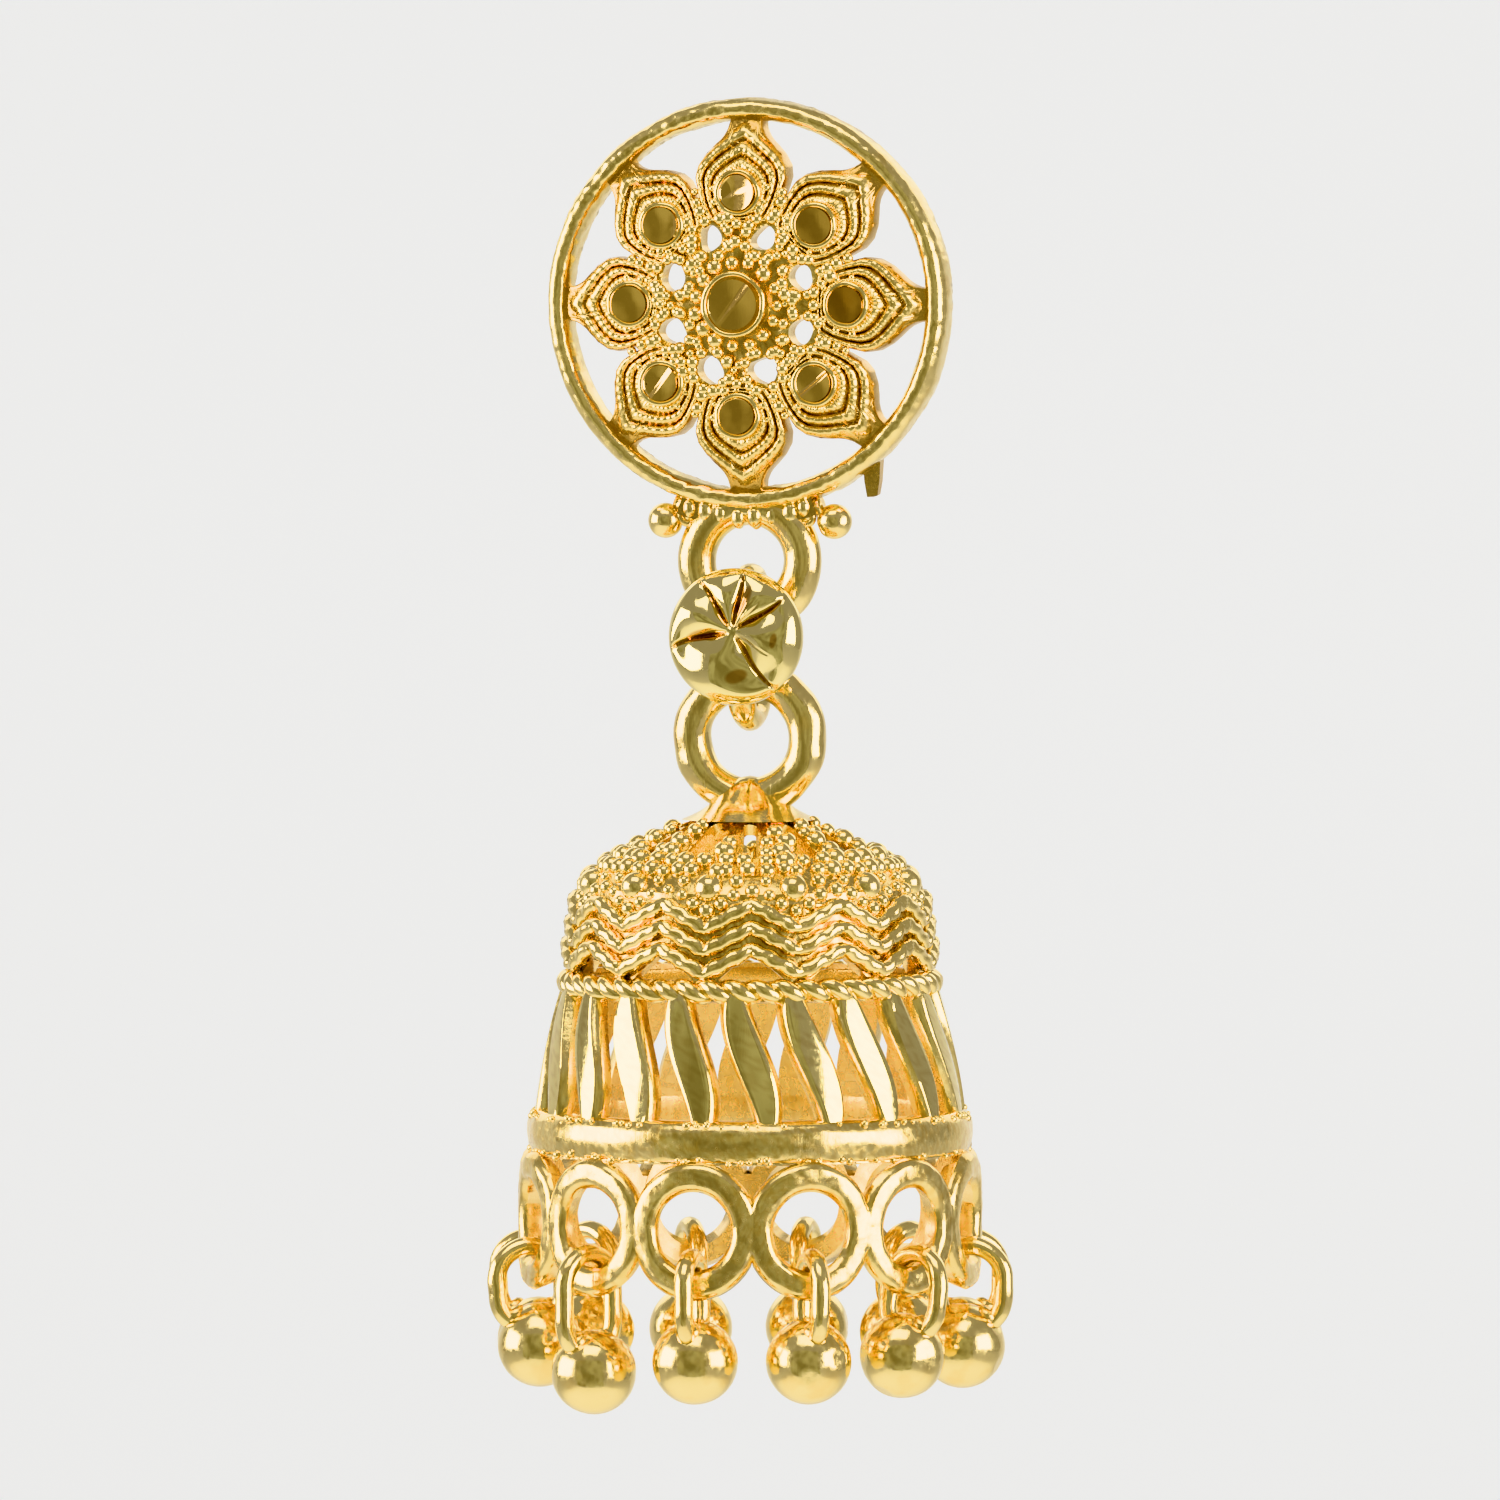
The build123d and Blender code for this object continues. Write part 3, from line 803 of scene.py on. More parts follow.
def ray_to_outline(outline: Array, middle: tuple[float, float], angles: Array) -> Array:
    """Finds where rays from a point leave a closed outline.

    Args:
        outline: Corners of the outline, as rows of a and b.
        middle: Where the rays start.
        angles: Directions of the rays.

    Returns:
        Rows of a and b, one for each ray.
    """
    parallel, slack = 1e-12, 1e-9
    start = outline - np.asarray(middle)
    edge = (np.roll(start, -1, axis=0) - start)[None]
    direction = np.stack([np.cos(angles), np.sin(angles)], axis=-1)[:, None]
    cross = direction[..., 0] * edge[..., 1] - direction[..., 1] * edge[..., 0]
    cross = np.where(np.abs(cross) < parallel, parallel, cross)
    reach = (start[None, :, 0] * edge[..., 1] - start[None, :, 1] * edge[..., 0]) / cross
    along = (start[None, :, 0] * direction[..., 1] - start[None, :, 1] * direction[..., 0]) / cross
    good = (along >= -slack) & (along <= 1 + slack) & (reach > 0)
    far = np.where(good, reach, -1.0).max(axis=1)
    return np.asarray(middle) + direction[:, 0] * far[:, None]


def near_edge(rows: int, reach: float) -> Array:
    """Gives, for the rows of a plate round a window, a share that fades from 1 at the edge to 0."""
    return np.clip(1.0 - np.arange(rows) / reach, 0.0, 1.0)[:, None]


class SubAssembly:
    """What all sub-assemblies share: sizes, materials, seeded draws and the piece in the making."""

    body: str
    slot: str
    seed: int = 0

    def __init__(self, sizes: object, materials: Materials) -> None:
        """Keeps the sizes and the materials, and seeds the draws.

        Args:
            sizes: Sizes of the sub-assembly.
            materials: The gold finishes.
        """
        self.s = sizes
        self.materials = materials
        self.rng = np.random.default_rng(self.seed)

    def start(self, name: str) -> None:
        """Starts a new piece."""
        self.draft = Draft(name)

    def done(self, *replaces: str) -> None:
        """Makes the piece's object, which may stand for CAD nodes."""
        self.draft.finish(self.body, self.slot, replaces, self.materials)


@dataclass(frozen=True)
class Collet:
    """A stud's round collet: its radius, and how far its shoulder and its cut face stand forward."""

    radius: float
    shoulder: float
    top: float


@dataclass(frozen=True)
class StudCut:
    """How one mirror-cut face lies: its lean, how much painted dark reflection darkens it, and a bright step
    across it.
    """

    lean_across: float
    lean_up: float
    # Share of painted dark reflection in the face's colour.
    painted_dark_reflection: float
    step: float = 0.0
    streak: float = 0.0


@dataclass(frozen=True)
class StudSizes:
    """Sizes of the rosette stud, in millimetres; heights are measured forward from its back plane."""

    rim_outer: float = 7.25
    rim_band: float = 0.85
    rim_depth: float = 1.8
    rim_squareness: float = 0.8
    rim_sides: int = 28
    rim_steps: int = 520
    dome_r: float = 16.3
    dome_front: float = 2.8
    dome_reach: float = 7.0
    wall: float = 0.85
    petals: int = 8
    stud_ring: float = 3.9
    eye_ring: float = 2.5
    eye: float = 0.4
    eye_lip: float = 0.1
    core_inner: float = 0.9
    core_outer: float = 4.0
    core_gap: float = 0.02
    petal_rays: int = 140
    petal_rows: int = 40
    petal_hole: float = 0.72
    ridges: float = 3.0
    ridge_height: float = 0.32
    ridge_foot: float = -0.06
    ridge_beading: float = 0.36
    root_height: float = 0.35
    edge_drop: float = 0.14
    eye_collet: Collet = Collet(1.13, 3.3, 3.42)
    petal_collet: Collet = Collet(0.8, 2.7, 2.84)
    collet_lip: float = 0.1
    face_share: float = 0.78
    face_dish: float = 0.05
    face_sink: float = 0.12
    step_half: float = 0.15
    scatter: float = 0.035
    granule_count: int = 300
    ring_z: float = -9.0
    ring_r: float = 1.92
    wire: float = 0.7
    ball_r: float = 0.62
    ball_x: float = 3.05
    ball_z: float = -7.6
    yoke_r: float = 7.42


# The petal's outline on one side of its midline: its flank, then its root, or the arch of its ridges.
FLANK = ((2.86, 1.05), (3.3, 1.3), (3.9, 1.52), (4.45, 1.66), (4.85, 1.6))
ROOT = ((5.25, 1.36), (5.55, 1.08), (5.75, 0.87), (5.95, 0.72), (6.2, 0.61), (6.5, 0.57), (6.8, 0.56))
ARCH = ((5.25, 1.32), (5.55, 1.0), (5.8, 0.7), (6.05, 0.4), (6.25, 0.17), (6.36, 0.02))

# The hub behind the middle stud, as radius and distance forward.
HUB = ((0.0, 0.33), (1.2, 0.33), (1.3, 0.45), (1.3, 2.2), (0.0, 2.2))

# The cut faces: the middle one, then those of the petals, from +x round by the top; the third value is each
# face's painted dark reflection.
STUD_CUTS: tuple[StudCut, ...] = (
    StudCut(0.03, 0.02, 0.15, 0.25, 52.0),
    StudCut(0.05, 0.04, 0.85),
    StudCut(-0.02, 0.06, 0.4),
    StudCut(0.2, 0.0, 0.05, 0.25, 20.0),
    StudCut(0.06, -0.04, 0.05),
    StudCut(-0.02, 0.02, 0.1),
    StudCut(0.03, 0.05, 0.0, 0.8, 52.0),
    StudCut(0.02, -0.12, 0.3),
    StudCut(-0.03, 0.03, 0.1, 0.8, 40.0),
)

# Granules round the middle stud, round an eye and round a petal's stud: ring, count, radius, lift.
EYE_STUD_BEADS = (1.46, 15, 0.26, 0.08)
EYE_BEADS = (0.68, 8, 0.21, 0.09)
PETAL_STUD_BEADS = (0.97, 11, 0.13, 0.12)
# Granules outward of each eye: distance from the middle, radius. Their lift is LINE_LIFT.
LINE_BEADS = ((3.45, 0.22), (3.85, 0.2), (4.2, 0.17))
LINE_LIFT = 0.12
# Granules at a petal's foot: distance from the middle, turns from the midline, radius, lift.
FOOT_BEADS = ((2.8, (-0.17, 0.0, 0.17), 0.2, 0.14), (2.05, (-0.14, 0.14), 0.2, 0.1))


class RosetteStud(SubAssembly):
    """The ear disc: rim, pierced rosette, studs, lower ring, side balls and spur."""

    s: StudSizes
    body = "stud"
    slot = "stud_gold"
    seed = 11

    def build(self) -> None:
        """Builds all pieces of the stud."""
        self._rim()
        self._rosette()
        self._studs()
        self._granules()
        self._lower_ring()

    def place(self, a: Array, b: Array, lift: Array | float) -> Array:
        """Puts points of the rosette's plan on its dome.

        Args:
            a: Position across.
            b: Position up.
            lift: Height above the dome's surface.

        Returns:
            The points.
        """
        s = self.s
        radius = np.minimum(np.hypot(a, b), s.dome_reach)
        dome = s.dome_front - s.dome_r + np.sqrt(s.dome_r**2 - radius**2)
        return np.stack([a, -(dome + lift), b], axis=-1)

    def disc(self, reach: Array | float, turn: Array, forward: float) -> Array:
        """Gives points round the disc's axis, some way in front of the plane in which the parts hang."""
        y = np.full(turn.shape, HANG_Y - forward)
        return np.stack([reach * np.cos(turn), y, reach * np.sin(turn)], axis=-1)

    def _rim(self) -> None:
        """Builds the rounded rim with its filed unevenness."""
        s = self.s
        half = np.array([s.rim_band, s.rim_depth]) / 2
        turn = full_turn(s.rim_sides)
        heading = np.stack([np.cos(turn), np.sin(turn)], axis=-1)
        shape = np.sign(heading) * np.abs(heading) ** s.rim_squareness * half
        grid = revolve(shape + (s.rim_outer - half[0], half[1]), (0, 0, 0), "y", s.rim_steps)
        out = shape / np.linalg.norm(shape, axis=1, keepdims=True)
        normal = revolve(out, (0, 0, 0), "y", s.rim_steps)
        worn = np.clip(Wobble(12).at(grid, 8.0) + 0.35, 0.0, 1.0)
        hammer_marks = Wobble(2, 14).at(grid, 0.33) * (0.012 + 0.03 * worn)
        uneven = unevenness(grid, Layer(3, 2.4, 0.04), Layer(4, 0.8, 0.02, 11)) + hammer_marks - 0.035
        self.start("rosette_rim")
        self.draft.add(grid + normal * uneven[..., None], grid_faces(s.rim_steps, s.rim_sides, True, True),
                       Finish.RUBBED)
        self.done("rosette_stud")

    def _rosette(self) -> None:
        """Builds the pierced core, the petals with their nested ridges, and the hub behind the middle."""
        s = self.s
        self.start("rosette_petals")
        for k in range(s.petals):
            turn = k * FULL / s.petals
            self._core_plate(turn + FULL / s.petals / 2)
            self._petal(turn)
        # The hub behind the middle stud gets some painted shade.
        self.draft.add(*lathe(HUB, (0, 0, 0), "y", 48), Finish.CAST, cavity=0.3)
        self.done()

    def _core_plate(self, turn: float) -> None:
        """Adds one plate of the core, with its eye cut through.

        Args:
            turn: Direction of the eye.
        """
        s = self.s
        wide = s.eye * self.rng.uniform(1.05, 1.28)
        oval = self.rng.uniform(0.0, FULL, 2)

        def eye_edge(angles: Array) -> Array:
            """Gives the uneven edge of an eye.

            Args:
                angles: Directions from the middle of the eye.

            Returns:
                Rows of radius and turn.
            """
            edge = wide * (1 + 0.09 * np.cos(2 * angles + oval[0]) + 0.06 * np.cos(3 * angles + oval[1]))
            radius = s.eye_ring + edge * np.cos(angles)
            return np.stack([radius, edge * np.sin(angles) / radius], axis=-1)

        half_step = FULL / s.petals / 2
        box = (s.core_inner, s.core_outer, -half_step, half_step)
        plan = around_window(eye_edge, (s.eye_ring, 0.0), box, 36, 9)
        rows, columns = plan.shape[:2]
        r, t = plan[..., 0], plan[..., 1] + turn
        a, b = r * np.cos(t), r * np.sin(t)
        rough = unevenness(self.place(a, b, 0.0), Layer(21, 0.62, 0.05), Layer(22, 0.3, 0.03))
        near = near_edge(rows, 3.0)
        front = self.place(a, b, rough + s.eye_lip * near)
        back = self.place(a[[0, -1]], b[[0, -1]], s.core_gap - s.wall)
        # Painted shade: darker where the plate sinks, none on the eye's raised lip, and half on the back.
        darkening = np.clip(0.5 - rough * 8.0, 0.1, 0.95) * (1 - near)
        walls = on_border(plan[-1, :, 0], box[:2])
        self.draft.add(np.vstack([front, back]), plate_faces(rows, 2, columns, True, walls), Finish.CAST,
                       cavity=np.vstack([darkening, np.full((2, columns), 0.5)]))

    def _rays(self, tip: tuple[tuple[float, float], ...], angles: Array) -> Array:
        """Finds where rays from a petal's stud leave the petal's outline.

        Args:
            tip: The end of the outline on one side of the midline, after the flank.
            angles: Directions of the rays.

        Returns:
            Rows of a and b, one for each ray, the midline being on +a.
        """
        side = np.array(FLANK + tip)
        return ray_to_outline(np.vstack([side, side[::-1] * (1, -1)]), (self.s.stud_ring, 0.0), angles)

    def _petal(self, turn: float) -> None:
        """Adds one petal: a plate with nested ridges of beaded wire, and a plain root to the rim.

        Args:
            turn: Direction of the petal's midline.
        """
        s = self.s
        angles = np.linspace(-math.pi, math.pi, s.petal_rays, endpoint=False)
        outer, arch = self._rays(ROOT, angles), self._rays(ARCH, angles)
        reach = np.hypot(outer[:, 0] - s.stud_ring, outer[:, 1])
        arch_reach = np.hypot(arch[:, 0] - s.stud_ring, arch[:, 1])
        share = np.linspace(0.0, 1.0, s.petal_rows)[:, None]
        rho = reach * (1 - share) + s.petal_hole * share
        inside = (arch_reach - rho) / (arch_reach - s.petal_hole)
        ridge = s.ridges * inside
        aside = np.abs(ridge - np.floor(ridge) - 0.5) * 2.0
        wire = np.where(inside > 0, np.sqrt(np.clip(1.0 - aside**2, 0.0, 1.0)), s.root_height)
        run = np.cumsum(np.hypot(*(np.roll(outer, -1, 0) - outer).T))
        beading = 0.93 + 0.07 * np.sin(FULL * run / s.ridge_beading)
        edge = np.clip(1.0 - share / 0.04, 0.0, 1.0)
        lift = s.ridge_foot + s.ridge_height * wire * beading - s.edge_drop * edge

        def turned(radius: Array) -> tuple[Array, Array]:
            """Gives the plan of points round the petal's stud, turned into place.

            Args:
                radius: Distances from the stud.

            Returns:
                Positions across and up.
            """
            a, b = s.stud_ring + radius * np.cos(angles), radius * np.sin(angles)
            c, q = math.cos(turn), math.sin(turn)
            return a * c - b * q, a * q + b * c

        front = self.place(*turned(rho), lift)
        front[..., 1] += unevenness(front, Layer(24, 0.7, 0.02))
        back_rho = reach * np.array([1.0, 0.4, 0.01])[:, None]
        back = self.place(*turned(back_rho), -s.wall)
        # Painted shade in the grooves between the ridges and on the plain root, and some on the back.
        painted_groove_shade = 1.1 * (1 - wire) ** 1.1
        faces = plate_faces(s.petal_rows, len(back), s.petal_rays, True, True)
        self.draft.add(np.vstack([front, back]), faces, Finish.CAST,
                       cavity=np.vstack([painted_groove_shade, np.full(back_rho.shape, 0.4)]))

    def _studs(self) -> None:
        """Builds the collets with their mirror-cut faces."""
        s = self.s
        self.start("rosette_studs")
        places = [((0.0, 0.0), s.eye_collet)]
        places += [(polar(s.stud_ring, k * FULL / s.petals), s.petal_collet) for k in range(s.petals)]
        for number, (((a, b), collet), cut) in enumerate(zip(places, STUD_CUTS)):
            self._collet(a, b, collet, Layer(40 + number, 0.9, 0.02))
            self._cut_face(a, b, collet, cut)
        self.done()

    def _collet(self, a: float, b: float, collet: Collet, filed: Layer) -> None:
        """Adds a round collet with a wire lip.

        Args:
            a: Position across.
            b: Position up.
            collet: Its sizes.
            filed: Unevenness of the lip.
        """
        s = self.s
        radius, face_r, top = collet.radius, collet.radius * s.face_share, collet.top
        foot, shoulder = 1.6, collet.shoulder
        side = [
            (0.0, foot), (radius * 0.98, foot), (radius, shoulder - 0.16), (radius - 0.02, shoulder - 0.06),
            (face_r * 1.02, shoulder - 0.1), (face_r, top - s.face_dish), (face_r * 0.9, top - s.face_sink),
            (0.0, top - s.face_sink),
        ]
        steps = 40
        # Painted shade on the collet: most in the step inside its shoulder, half at its foot, less elsewhere.
        self.draft.add(*lathe(side, (a, 0, b), "y", steps), Finish.POLISHED,
                       cavity=np.tile([0.5, 0.5, 0.2, 0.2, 0.7, 0.3, 0.3, 0.3], steps))
        turn = full_turn(10)
        wire = s.collet_lip * np.stack([np.cos(turn), np.sin(turn)], axis=-1)
        lip, faces = lathe(wire + (radius - 0.07, shoulder - 0.02), (a, 0, b), "y", 44, True)
        self.draft.add(lip + unevenness(lip, filed)[..., None], faces, Finish.POLISHED)

    def _cut_face(self, a: float, b: float, collet: Collet, cut: StudCut) -> None:
        """Adds the slightly dished and leaning mirror face of a stud.

        Args:
            a: Position across.
            b: Position up.
            collet: Sizes of its collet.
            cut: How the face lies.
        """
        s = self.s
        face_r, half = collet.radius * s.face_share, s.step_half
        rows = np.sin(np.linspace(-math.pi / 2, math.pi / 2, 21))
        across = np.unique(np.concatenate([rows, [-half, half]]))[:, None]
        along = np.sqrt(np.clip(1.0 - across**2, 0.0, 1.0)) * np.linspace(-1.0, 1.0, 13)
        u, v = np.broadcast_to(across * face_r, along.shape), along * face_r
        spin = math.radians(cut.streak)
        da, db = u * math.sin(spin) + v * math.cos(spin), v * math.sin(spin) - u * math.cos(spin)
        height = collet.top + cut.lean_across * da + cut.lean_up * db
        height = height + cut.step * np.clip(u / face_r, -half, half) * face_r
        height = height + s.face_dish * ((da**2 + db**2) / face_r**2 - 1.0)
        face = np.stack([a + da, -height, b + db], axis=-1)
        foot = face * (1.0, 0.0, 1.0) - (0.0, collet.top - s.face_sink + 0.01, 0.0)
        # The face's colour is darkened by its painted dark reflection.
        self.draft.add(np.stack([face, foot]), shell_faces(*along.shape), Finish.FACET, smooth=False,
                       cavity=cut.painted_dark_reflection)

    def _granules(self) -> None:
        """Builds the granule rings and lines of the rosette, and fills up what is left."""
        s = self.s
        spots: list[tuple[float, float, float, float]] = []

        def ring(middle: tuple[float, float], start: float, beads: tuple[float, int, float, float],
                 reach: float = math.inf) -> None:
            """Adds a ring of granules, as far as they lie within a reach of the rosette's middle.

            Args:
                middle: What the ring goes round.
                start: Direction of the first granule.
                beads: Ring, count, radius and lift.
                reach: How far from the rosette's middle a granule may lie.
            """
            radius, count, size, lift = beads
            for j in range(count):
                spot = polar(radius, start + FULL * j / count, middle)
                if math.hypot(*spot) < reach:
                    spots.append((*spot, size, lift))

        ring((0.0, 0.0), 0.0, EYE_STUD_BEADS)
        for k in range(s.petals):
            axis, petal = FULL * (k + 0.5) / s.petals, FULL * k / s.petals
            ring(polar(s.eye_ring, axis), axis + math.pi, EYE_BEADS)
            spots += [(*polar(r, axis), size, LINE_LIFT) for r, size in LINE_BEADS]
            for r, turns, size, lift in FOOT_BEADS:
                spots += [(*polar(r, petal + turn), size, lift) for turn in turns]
            half_gap = math.pi / PETAL_STUD_BEADS[1]
            ring(polar(s.stud_ring, petal), petal + half_gap, PETAL_STUD_BEADS, s.core_outer + 0.2)
        while len(spots) < s.granule_count:
            r, turn = self.rng.uniform(1.75, 3.5), self.rng.uniform(0.0, FULL)
            nearest = (round(turn / (FULL / s.petals) - 0.5) + 0.5) * FULL / s.petals
            spot, eye = polar(r, turn), polar(s.eye_ring, nearest)
            if math.dist(spot, eye) > EYE_BEADS[0]:
                spots.append((*spot, self.rng.uniform(0.14, 0.24), 0.08))
        table = np.array(spots)
        table[:, :2] += self.rng.normal(0.0, s.scatter, (len(table), 2))
        sizes = table[:, 2] * self.rng.uniform(0.8, 1.2, len(table))
        self.start("rosette_granules")
        self.draft.add(*granules(self.place(table[:, 0], table[:, 1], table[:, 3]), sizes), Finish.GRANULE)
        self.done()

    def _lower_ring(self) -> None:
        """Builds the lower ring, its yoke, the side balls and the spur."""
        s = self.s
        self.start("stud_lower_ring")
        self.draft.add(*upright_ring((0.0, HANG_Y, s.ring_z), s.ring_r, s.wire, 5), Finish.WIRE)
        for side in (-1, 1):
            ball, ball_faces = unit_ball(20, 28)
            ball = hammered(ball * s.ball_r, self.rng, 5, s.ball_r * 0.95)
            self.draft.add(ball + (side * s.ball_x, HANG_Y, s.ball_z), ball_faces, Finish.POLISHED)
            self._yoke_rope(side)
            self._scroll(side)
        self._pillars()
        self._yoke_plate()
        self._spur()
        self.done()

    def _yoke_rope(self, side: int) -> None:
        """Adds a twisted wire along the rim's foot, from near the middle to a side ball.

        Args:
            side: -1 for the left, 1 for the right.
        """
        steps, sides, strands, wire = 46, 10, 46, 0.27
        share = np.linspace(0.0, 1.0, steps)
        turn = FRONT + side * np.radians(4.0 + 17.0 * share)
        radii = wire * (1 + 0.16 * np.sin(share[:, None] * strands + full_turn(sides)))
        path = self.disc(self.s.yoke_r, turn, 0.1)
        # The twisted wire gets a little painted shade.
        self.draft.add(*sweep(path, radii, False, UPWARD), Finish.CAST, cavity=0.2)

    def _scroll(self, side: int) -> None:
        """Adds a small curl of wire in front of the yoke.

        Args:
            side: -1 for the left, 1 for the right.
        """
        steps, sides, wire, turns = 54, 8, 0.13, 1.25
        curl = np.linspace(0.0, 1.0, steps)
        spin = FULL * turns * curl + (math.pi if side < 0 else 0.0)
        reach = 0.48 - 0.34 * curl
        x, y, z = side * 2.12, HANG_Y - 0.25, -self.s.yoke_r
        path = np.stack([
            x + side * reach * np.cos(spin * side), np.full(steps, y), z + reach * np.sin(spin * side),
        ], axis=-1)
        # The curl gets a little painted shade.
        self.draft.add(*sweep(path, np.full((steps, sides), wire), False, np.array([0.0, -1.0, 0.0])),
                       Finish.CAST, cavity=0.1)

    def _pillars(self) -> None:
        """Adds the upright grains between the rim and the lower ring, and the granules under them."""
        s = self.s
        count = 8

        def row(spacing: float, reach: float, forward: float) -> Array:
            """Gives a row of places along the rim's foot, a number of degrees apart."""
            turn = FRONT + np.radians((np.arange(count) - (count - 1) / 2) * spacing)
            return self.disc(reach, turn, forward)

        places = row(4.7, s.yoke_r, 0.45) + self.rng.normal(0.0, s.scatter, (count, 3))
        sizes = 0.27 * self.rng.uniform(0.85, 1.15, count)
        self.draft.add(*granules(places, sizes, 10, 12, (1.0, 1.0, 1.45)), Finish.POLISHED)
        sizes = 0.17 * self.rng.uniform(0.9, 1.1, count)
        self.draft.add(*granules(row(4.6, s.yoke_r + 0.3, 0.3), sizes), Finish.GRANULE)

    def _yoke_plate(self) -> None:
        """Adds the curved bars behind the twisted wires, left and right of the lower ring."""
        steps, half_turn, gap, inner, outer, half_y = 40, 19.0, 9.5, 7.15, 7.78, 0.5
        turn = FRONT + np.radians(np.linspace(-half_turn, half_turn, steps))
        corners = ((inner, half_y), (outer, half_y), (outer, -half_y), (inner, -half_y))
        grid = np.stack([self.disc(reach, turn, forward) for reach, forward in corners], axis=1)
        for side in (-1, 1):
            part = grid[(turn - FRONT) * side > math.radians(gap)]
            ends = np.array([(0, 1, 2, 3), (-1, -2, -3, -4)]) % (4 * len(part))
            # The bars behind the twisted wires get painted shade.
            self.draft.add(part, np.vstack([grid_faces(len(part), 4, False, True), ends]), Finish.CAST,
                           cavity=0.5)

    def _spur(self) -> None:
        """Adds the short spur that stands out under the rim."""
        tip = (0.0, -0.25, -1.56)
        spur = np.array([
            [(-0.33, 0.0, 0.0), (0.33, 0.0, 0.0), (0.33, -0.56, 0.0), (-0.33, -0.56, 0.0)],
            [(-0.27, -0.03, -1.0), (0.27, -0.03, -1.0), (0.27, -0.5, -1.0), (-0.27, -0.5, -1.0)],
            [(-0.2, -0.1, -1.52), (0.2, -0.08, -1.45), (0.18, -0.42, -1.5), (-0.19, -0.42, -1.55)],
            [tip, tip, tip, tip],
        ]) + (4.3, 0.0, -5.2)
        faces = np.vstack([grid_faces(4, 4, False, True), [(0, 1, 2, 3)]])
        # The spur under the rim gets painted shade.
        self.draft.add(spur, faces, Finish.CAST, smooth=False, cavity=0.45)


@dataclass(frozen=True)
class PostSizes:
    """Sizes of the ear post, in millimetres."""

    radius: float = 0.4
    length: float = 10.5
    pad: float = 1.15
    pad_thick: float = 0.3


class EarPost(SubAssembly):
    """The plain post with its foot pad."""

    s: PostSizes
    body = "stud"
    slot = "post_gold"

    def build(self) -> None:
        """Builds the post, one turned solid with a rounded pad and a rounded tip."""
        s = self.s
        r, pad, tip = s.radius, s.pad, -s.length
        profile = np.array([
            (0.0, s.pad_thick), (pad - 0.12, s.pad_thick), (pad - 0.03, s.pad_thick - 0.04),
            (pad, s.pad_thick / 2), (pad - 0.03, 0.04), (pad - 0.12, 0.0), (r + 0.14, 0.0),
            (r + 0.05, -0.04), (r, -0.14), (r, -4.0), (r, -7.0), (r, tip + 0.32), (r - 0.05, tip + 0.13),
            (r - 0.16, tip + 0.03), (0.0, tip),
        ])
        parts = 5
        fine = np.vstack([
            np.linspace(start, end, parts, endpoint=False) for start, end in zip(profile[:-1], profile[1:])
        ] + [profile[-1:]])
        self.start("ear_post_metal")
        self.draft.add(*lathe(fine, (0, 0, 0), "y", 40), Finish.WIRE)
        self.done("ear_post")


@dataclass(frozen=True)
class LinkSizes:
    """Sizes of the flower link, in millimetres; creases and lines are directions in degrees."""

    top_z: float = -10.92
    leg: float = 2.19
    arc: float = 1.37
    wire: float = 0.5
    wire_sides: int = 18
    button_z: float = -11.6
    button_r: float = 2.41
    edge_y: float = 2.86
    rise_limit: float = 1.02
    button_steps: int = 280
    button_rings: int = 64
    pin: tuple[float, float] = (0.05, 0.22)
    pin_depth: float = 0.22
    pin_share: float = 0.3
    creases: tuple[float, ...] = (36.0, 84.0, 128.0, 196.0, 306.0)
    crease_half: float = 0.026
    crease_depth: float = 0.1
    valley_depth: float = 0.4
    widest_petal: float = 1.3
    fine_lines: tuple[float, ...] = (50.0, 60.0, 71.0, 333.0)
    fine_half: float = 0.014
    fine_depth: float = 0.03


# Painted dark reflections in the button's creases: middle x and z, half length, half width, lean in degrees.
BUTTON_PAINTED_REFLECTIONS = (
    (0.48, 1.3, 0.62, 0.24, 66.0),
    (-1.05, 0.08, 0.66, 0.22, 12.0),
    (0.2, -1.36, 0.44, 0.26, 20.0),
    (1.56, -0.1, 0.3, 0.13, 80.0),
)


def ramp(values: Array, start: float, reach: float) -> Array:
    """Gives 0 at a start value and 1 from one reach further, straight between them."""
    return np.clip((values - start) / reach, 0.0, 1.0)


def soft(share: Array) -> Array:
    """Rounds both ends of a ramp from 0 to 1."""
    return share * share * (3 - 2 * share)


